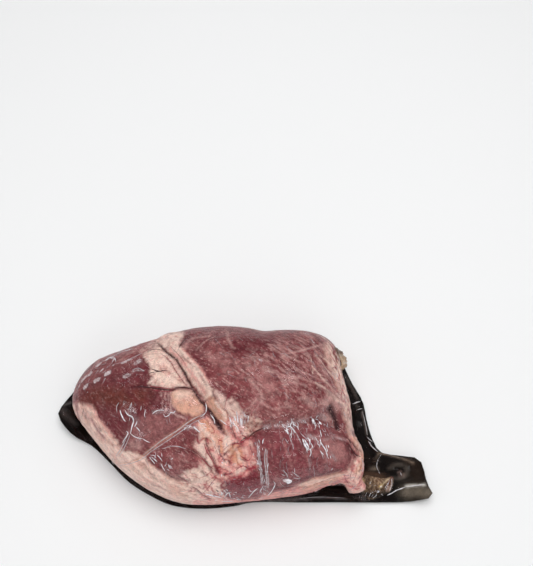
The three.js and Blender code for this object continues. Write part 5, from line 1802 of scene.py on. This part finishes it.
def mixed(tree, share, first, second):
    """Two colours mixed by a share."""
    made = node(tree, "Mix", data_type="RGBA")
    for index, value in ((0, share), (6, first), (7, second)):
        feed(tree, made.inputs[index], value)
    return made.outputs[2]


def noise_at(tree, place, scale, detail, **settings):
    return node(tree, "TexNoise", Vector=place, Scale=scale, Detail=detail, **settings).outputs[0]


def stretched(tree, place, by):
    return node(tree, "VectorMath", place, by, operation="MULTIPLY")


def own_place(tree):
    return node(tree, "TexCoord").outputs["Object"]


def stored(tree, name, output="Fac"):
    """What the mesh keeps for each vertex under a name."""
    return node(tree, "Attribute", attribute_name=name).outputs[output]


def opaque(shade):
    return (*shade, 1.0)


def tissue_shade(name):
    return opaque(TISSUES[name][0])


def new_material(name, piece):
    material = bpy.data.materials.new(name)
    material.use_nodes = True
    piece.data.materials.clear()
    piece.data.materials.append(material)
    print("material", name, "on", piece.name)
    return material.node_tree, material.node_tree.nodes["Principled BSDF"]


def dress(tree, shader, bump=None, **settings):
    """Feeds a shader's sockets by their names. A bump is (strength, metres, height)."""
    feed_all(tree, shader.inputs, settings)
    if bump:
        strength, metres, height = bump
        feed(tree, shader.inputs["Normal"],
             node(tree, "Bump", Strength=strength, Distance=metres, Height=height))


# %% [markdown]
# ## Three shared effects
#
# An effect that several materials need is a group, made once and placed in each. The first,
# wet mottle, breaks a tissue's colour into small lighter and darker flecks.

# %% Wet mottle


def new_group(name, inputs, outputs):
    """A shader node group with its sockets: each input is (type, name, value)."""
    group = bpy.data.node_groups.new(name, "ShaderNodeTree")
    for kind, label, value in inputs:
        socket = group.interface.new_socket(label, in_out="INPUT", socket_type=kind)
        socket.default_value = value
    for kind, label in outputs:
        group.interface.new_socket(label, in_out="OUTPUT", socket_type=kind)
    print("shared effect", name)
    return group, group.nodes.new("NodeGroupInput")


def send(group, **results):
    """Gives a group its outputs."""
    feed_all(group, group.nodes.new("NodeGroupOutput").inputs, results)


def use_group(tree, group, **settings):
    placed = tree.nodes.new("ShaderNodeGroup")
    placed.node_tree = group
    feed_all(tree, placed.inputs, settings)
    return placed


mottle, given = new_group(
    "wet_mottle",
    [("NodeSocketColor", "Colour", (1, 1, 1, 1)), ("NodeSocketFloat", "Strength", 0.5)],
    [("NodeSocketColor", "Colour"), ("NodeSocketFloat", "Height")],
)
spot = own_place(mottle)
coarse = noise_at(mottle, spot, 260.0, 5.0, Roughness=0.62)
fine = noise_at(mottle, spot, 900.0, 4.0, Roughness=0.6)
both = plus(mottle, times(mottle, coarse, 0.5), times(mottle, fine, 0.5))
contrast = step_between(mottle, both, 0.39, 0.61, 0.5, 1.5)
grey = plus(mottle, 1.0, times(mottle, given.outputs["Strength"],
                               maths(mottle, "SUBTRACT", contrast, 1.0)))
send(mottle, Colour=stretched(mottle, given.outputs["Colour"], grey), Height=both)

# %% [markdown]
# Blood threads are the fine red net in fat: the edges between random cells, bent by noise, and
# left out wherever a slower noise is low.

# %% Blood threads
BEND = 0.009

threads, given = new_group(
    "blood_threads",
    [("NodeSocketFloat", "Size", 0.009), ("NodeSocketFloat", "Width", 0.06)],
    [("NodeSocketFloat", "Share")],
)
spot = own_place(threads)
bend = node(threads, "TexNoise", Vector=spot, Scale=160.0, Detail=3.0)
bent = node(threads, "VectorMath", bend.outputs["Color"], (0.5, 0.5, 0.5), operation="SUBTRACT")
bent = stretched(threads, bent, (BEND, BEND, BEND))
bent = node(threads, "VectorMath", spot, bent, operation="ADD")
frequency = maths(threads, "DIVIDE", 1.0, given.outputs["Size"])
cells = node(threads, "TexVoronoi", Vector=bent, Scale=frequency, feature="DISTANCE_TO_EDGE")
net = step_between(threads, cells.outputs["Distance"], given.outputs["Width"], 0.0)
gaps = noise_at(threads, spot, 110.0, 2.0)
send(threads, Share=times(threads, net, step_between(threads, gaps, 0.45, 0.6)))

# %% [markdown]
# Crinkle is the fine unevenness of drawn film. Its height gives the bump, and its patches say
# how sharply the film mirrors.

# %% Crinkle of drawn film
crinkle, given = new_group(
    "film_crinkle",
    [("NodeSocketFloat", "Size", 0.004), ("NodeSocketFloat", "Turn", 0.8)],
    [("NodeSocketFloat", "Height"), ("NodeSocketFloat", "Patches")],
)
spot = own_place(crinkle)
turned = node(crinkle, "VectorRotate", Vector=spot, Angle=given.outputs["Turn"])
long = stretched(crinkle, turned, (0.3, 1.0, 0.6))
frequency = maths(crinkle, "DIVIDE", 1.0, given.outputs["Size"])
slow = noise_at(crinkle, long, frequency, 2.0, Distortion=0.6)
sharp = noise_at(crinkle, long, times(crinkle, frequency, 2.7), 3.0,
                 noise_type="RIDGED_MULTIFRACTAL")
send(crinkle, Height=plus(crinkle, slow, times(crinkle, sharp, 0.12)),
     Patches=noise_at(crinkle, spot, 95.0, 2.0))

# %% [markdown]
# ## Meat
#
# The canvas gives the colour. On top come flecks everywhere, a red net in the fat, and in the
# muscle pale fibres that all run one way. Flesh lets a little light in, so shadows in it go
# red rather than black.

# %% Meat
tree, meat_shader = new_material("meat", meat)
fattiness = stored(tree, "fatty")
lean = maths(tree, "SUBTRACT", 1.0, fattiness)
grained = times(tree, lean, step_between(tree, stored(tree, "calm"), 0.0, 1.0, 1.0, 0.3))
spot = own_place(tree)
fibre_way = node(tree, "VectorRotate", Vector=spot, Angle=-FIBRE_TURN)

strands = noise_at(tree, stretched(tree, fibre_way, (0.16, 1.0, 1.0)), 420.0, 5.0, Roughness=0.6)
haze = noise_at(tree, spot, 120.0, 6.0, Roughness=0.65)
pale = times(tree, step_between(tree, strands, 0.5, 0.72), step_between(tree, haze, 0.42, 0.62))
made = mixed(tree, times(tree, pale, grained, 0.6), stored(tree, "tissue", "Color"),
             tissue_shade("membrane"))
dark = step_between(tree, haze, 0.46, 0.3)
made = mixed(tree, times(tree, dark, grained, 0.55), made, tissue_shade("deep muscle"))

speckle = noise_at(tree, stretched(tree, fibre_way, (0.45, 1.0, 1.0)), 620.0, 4.0, Roughness=0.6)
specks = times(tree, step_between(tree, speckle, 0.54, 0.66), grained, 0.55)
made = mixed(tree, specks, made, tissue_shade("membrane"))

net = use_group(tree, threads, Size=0.0085, Width=0.07).outputs["Share"]
made = mixed(tree, times(tree, net, fattiness, 0.22), made, tissue_shade("red"))
flecks = use_group(tree, mottle, Colour=made, Strength=plus(tree, 0.3, times(tree, lean, 0.3)))
dress(tree, meat_shader, Base_Color=flecks.outputs["Colour"], Specular_IOR_Level=0.2,
      Roughness=step_between(tree, haze, 0.3, 0.7, 0.3, 0.5),
      Subsurface_Weight=0.12, Subsurface_Scale=0.004, Subsurface_Radius=(1.0, 0.3, 0.2),
      bump=(0.5, 0.0006, plus(tree, flecks.outputs["Height"], times(tree, strands, 0.5))))

# %% [markdown]
# The veins and the red threads are the same wet blood in two colours, mottled so that they
# don't look drawn with a pen.

# %% Veins
for name, piece, blood_colour in (
    ("vein_blood", veins, printed(62, 22, 26)), ("thread_blood", red_threads, printed(150, 38, 58)),
):
    tree, vein_shader = new_material(name, piece)
    blood = use_group(tree, mottle, Colour=opaque(blood_colour), Strength=0.5)
    dress(tree, vein_shader, Base_Color=blood.outputs["Colour"], Roughness=0.35,
          bump=(0.3, 0.0003, blood.outputs["Height"]))

# %% [markdown]
# ## Film
#
# Clear film shows itself only by what it mirrors, so it is a mirror that lets almost all light
# through: its alpha is the share that it throws back, a few parts in a hundred. Real film throws
# back more at a slant, which is left out here. Where it is milky, and where sheens are painted into
# it, it stops being a mirror and scatters white.

# %% Clear film
# the colour of milky film and of the painted sheens
FILM_MILK_AND_SHEEN = opaque(printed(250, 232, 234))  # milky film takes a little of the meat's colour
THROWN_BACK = 0.04  # of the light, where the film is clear

tree, film_shader = new_material("clear_film", film)
drawn = use_group(tree, crinkle, Size=0.0042, Turn=0.75)
patchy = step_between(tree, drawn.outputs["Patches"], 0.35, 0.65)
milk_and_sheen_share = times(tree, stored(tree, "milk_and_sheen"),
             step_between(tree, drawn.outputs["Height"], 0.35, 0.75, 0.4, 1.0))
dress(tree, film_shader, Base_Color=FILM_MILK_AND_SHEEN,
      Alpha=plus(tree, THROWN_BACK, times(tree, milk_and_sheen_share, 0.9)),
      Metallic=step_between(tree, milk_and_sheen_share, 0.0, 0.3, 1.0, 0.0),
      Roughness=step_between(tree, patchy, 0, 1, 0.07, 0.18),
      bump=(0.8, 0.0007, drawn.outputs["Height"]))

# %% [markdown]
# Folds, glints and wrinkles are white threads, painted highlights where a lamp's gleam would lie,
# and partly the real whiteness of film seen edge-on, several layers deep. The brightest glints let
# nothing through, and the wrinkles more than half.

# %% Painted highlights: glints, folds and wrinkles of clear film
PAINTED_HIGHLIGHT_WHITE = opaque(printed(246, 243, 248))

for name, piece, opacity in (
    ("film_glint", glints, 1.0), ("film_fold_highlight", fold_highlights, 0.5), ("film_wrinkle_highlight", wrinkle_highlights, 0.45),
    ("pocket_glint", pocket_glints, 0.9), ("ridge_glint", ridge_glints, 0.8),
):
    tree, highlight_shader = new_material(name, piece)
    height = use_group(tree, crinkle, Size=0.0025, Turn=0.3).outputs["Height"]
    dress(tree, highlight_shader, Base_Color=PAINTED_HIGHLIGHT_WHITE, Roughness=0.18,
          Alpha=step_between(tree, height, 0.35, 0.55, 0.6 * opacity, opacity),
          bump=(0.5, 0.0004, height))

# %% [markdown]
# The juice lies right under its film, so one glossy skin stands for both.

# %% Pocket of juice
tree, juice_shader = new_material("juice_in_film", pocket)
height = use_group(tree, crinkle, Size=0.0022, Turn=0.5).outputs["Height"]
flecks = use_group(tree, mottle, Colour=stored(tree, "juice", "Color"), Strength=0.6)
dress(tree, juice_shader, Base_Color=flecks.outputs["Colour"], Roughness=0.14,
      Specular_IOR_Level=0.7, bump=(0.8, 0.0006, height))

# %% [markdown]
# The tuft is gathered so densely that it is hardly clear, brown where juice has dried in it.

# %% Tuft
TUFT_BROWN, TUFT_PALE = opaque(printed(104, 80, 66)), opaque(printed(186, 160, 134))

tree, tuft_shader = new_material("tuft_of_film", tuft)
drawn = use_group(tree, crinkle, Size=0.002, Turn=0.3)
tone = mixed(tree, step_between(tree, drawn.outputs["Patches"], 0.35, 0.65),
             TUFT_BROWN, TUFT_PALE)
dress(tree, tuft_shader, Base_Color=tone, Roughness=0.5,
      Alpha=step_between(tree, drawn.outputs["Height"], 0.4, 0.6, 0.75, 0.95),
      bump=(0.6, 0.0005, drawn.outputs["Height"]))

# %% [markdown]
# The black film takes its sheens from the mesh, and mirrors softly, in patches.

# %% Black film
tree, black_shader = new_material("black_film", black)
drawn = use_group(tree, crinkle, Size=0.006, Turn=0.2)
flecks = use_group(tree, mottle, Colour=stored(tree, "sheen", "Color"), Strength=0.35)
dress(tree, black_shader, Base_Color=flecks.outputs["Colour"], Specular_IOR_Level=0.25,
      Roughness=step_between(tree, drawn.outputs["Patches"], 0.3, 0.7, 0.14, 0.26),
      bump=(0.6, 0.0006, drawn.outputs["Height"]))

# %% [markdown]
# # Floor and light
#
# A plain pale floor catches the soft shadow and belongs to no piece.

# %% Floor
FLOOR_WHITE = (0.93, 0.935, 0.94, 1)

bpy.ops.object.select_all(action="DESELECT")
bpy.ops.mesh.primitive_plane_add(size=8, location=(0, 0, -0.0002))
floor = bpy.context.object
floor.name = "floor"
tree, floor_shader = new_material("floor_paper", floor)
dress(tree, floor_shader, Base_Color=FLOOR_WHITE, Roughness=0.9)

# %% [markdown]
# Two kinds of lamp share the work. Small ones make the gleams on the film, each on another
# part of the heart. Large soft ones light the form, and the film doesn't mirror them.

# %% Lamps
GLEAM_DISTANCE, GLEAM_SIZE = 1.3, 0.16  # metres
SOFT_DISTANCE = 1.6


def soft_lamp(name, direction, distance, size, power):
    """A square lamp at a distance in a direction from the heart, turned to face it."""
    place = Vector(direction).normalized() * distance
    bpy.ops.object.light_add(type="AREA", location=place)
    lamp = bpy.context.object
    lamp.name = name
    lamp.rotation_euler = (-place).to_track_quat("-Z", "Y").to_euler()
    lamp.data.shape = "SQUARE"
    lamp.data.size = size
    lamp.data.energy = power
    return lamp


for name, direction, power in (
    ("gleam_left", (-0.69, 0.08, 0.72), 0.2), ("gleam_right", (0.39, -0.62, 0.68), 0.3),
    ("gleam_far_left", (-0.5, 0.67, 0.45), 0.2), ("gleam_middle", (0.2, 0.52, 0.83), 0.35),
    ("gleam_near_left", (-0.71, -0.36, 0.61), 0.25), ("gleam_far_right", (0.5, 0.5, 0.62), 0.35),
):
    soft_lamp(name, direction, GLEAM_DISTANCE, GLEAM_SIZE, power)
for name, direction, size, power in (
    ("top_soft", (0.02, 0.1, 1.0), 1.5, 20), ("left_fill", (-0.9, -0.3, 0.6), 1.2, 2.5),
    ("right_fill", (0.9, -0.2, 0.6), 1.2, 3), ("near_fill", (0.1, -0.9, 0.5), 1.2, 4),
    ("far_fill", (0.0, 0.9, 0.6), 1.2, 2),
):
    soft_lamp(name, direction, SOFT_DISTANCE, size, power).visible_glossy = False
print(len(bpy.data.lights), "lamps")

# %% [markdown]
# A dim, slightly warm world fills the deepest shadows.

# %% World
WORLD_WHITE, WORLD_STRENGTH = (1.0, 0.99, 0.98, 1), 0.13

world = bpy.data.worlds.new("studio")
bpy.context.scene.world = world
world.use_nodes = True
feed_all(world.node_tree, world.node_tree.nodes["Background"].inputs,
         {"Color": WORLD_WHITE, "Strength": WORLD_STRENGTH})
bpy.context.scene.view_settings.view_transform = "Standard"

# %% [markdown]
# # What each piece is
#
# Each piece is parented to the body it rides on, and the imported node that it takes the place of is
# hidden.

for piece, node, slot in (
    (meat, "heart_in_film", "heart_meat"),
    (veins, "heart_in_film", "heart_meat"),
    (red_threads, "heart_in_film", "heart_meat"),
    (film, "heart_in_film", "clear_film"),
    (glints, "heart_in_film", "clear_film"),
    (fold_highlights, "heart_in_film", "clear_film"),
    (wrinkle_highlights, "heart_in_film", "clear_film"),
    (pocket_glints, "heart_in_film", "clear_film"),
    (tuft, "heart_in_film", "clear_film"),
    (pocket, "heart_in_film", "meat_juice"),
    (black, "backing_film", "backing_film"),
    (ridge_glints, "backing_film", "clear_film"),
):
    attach(piece, "root")
    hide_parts(node)
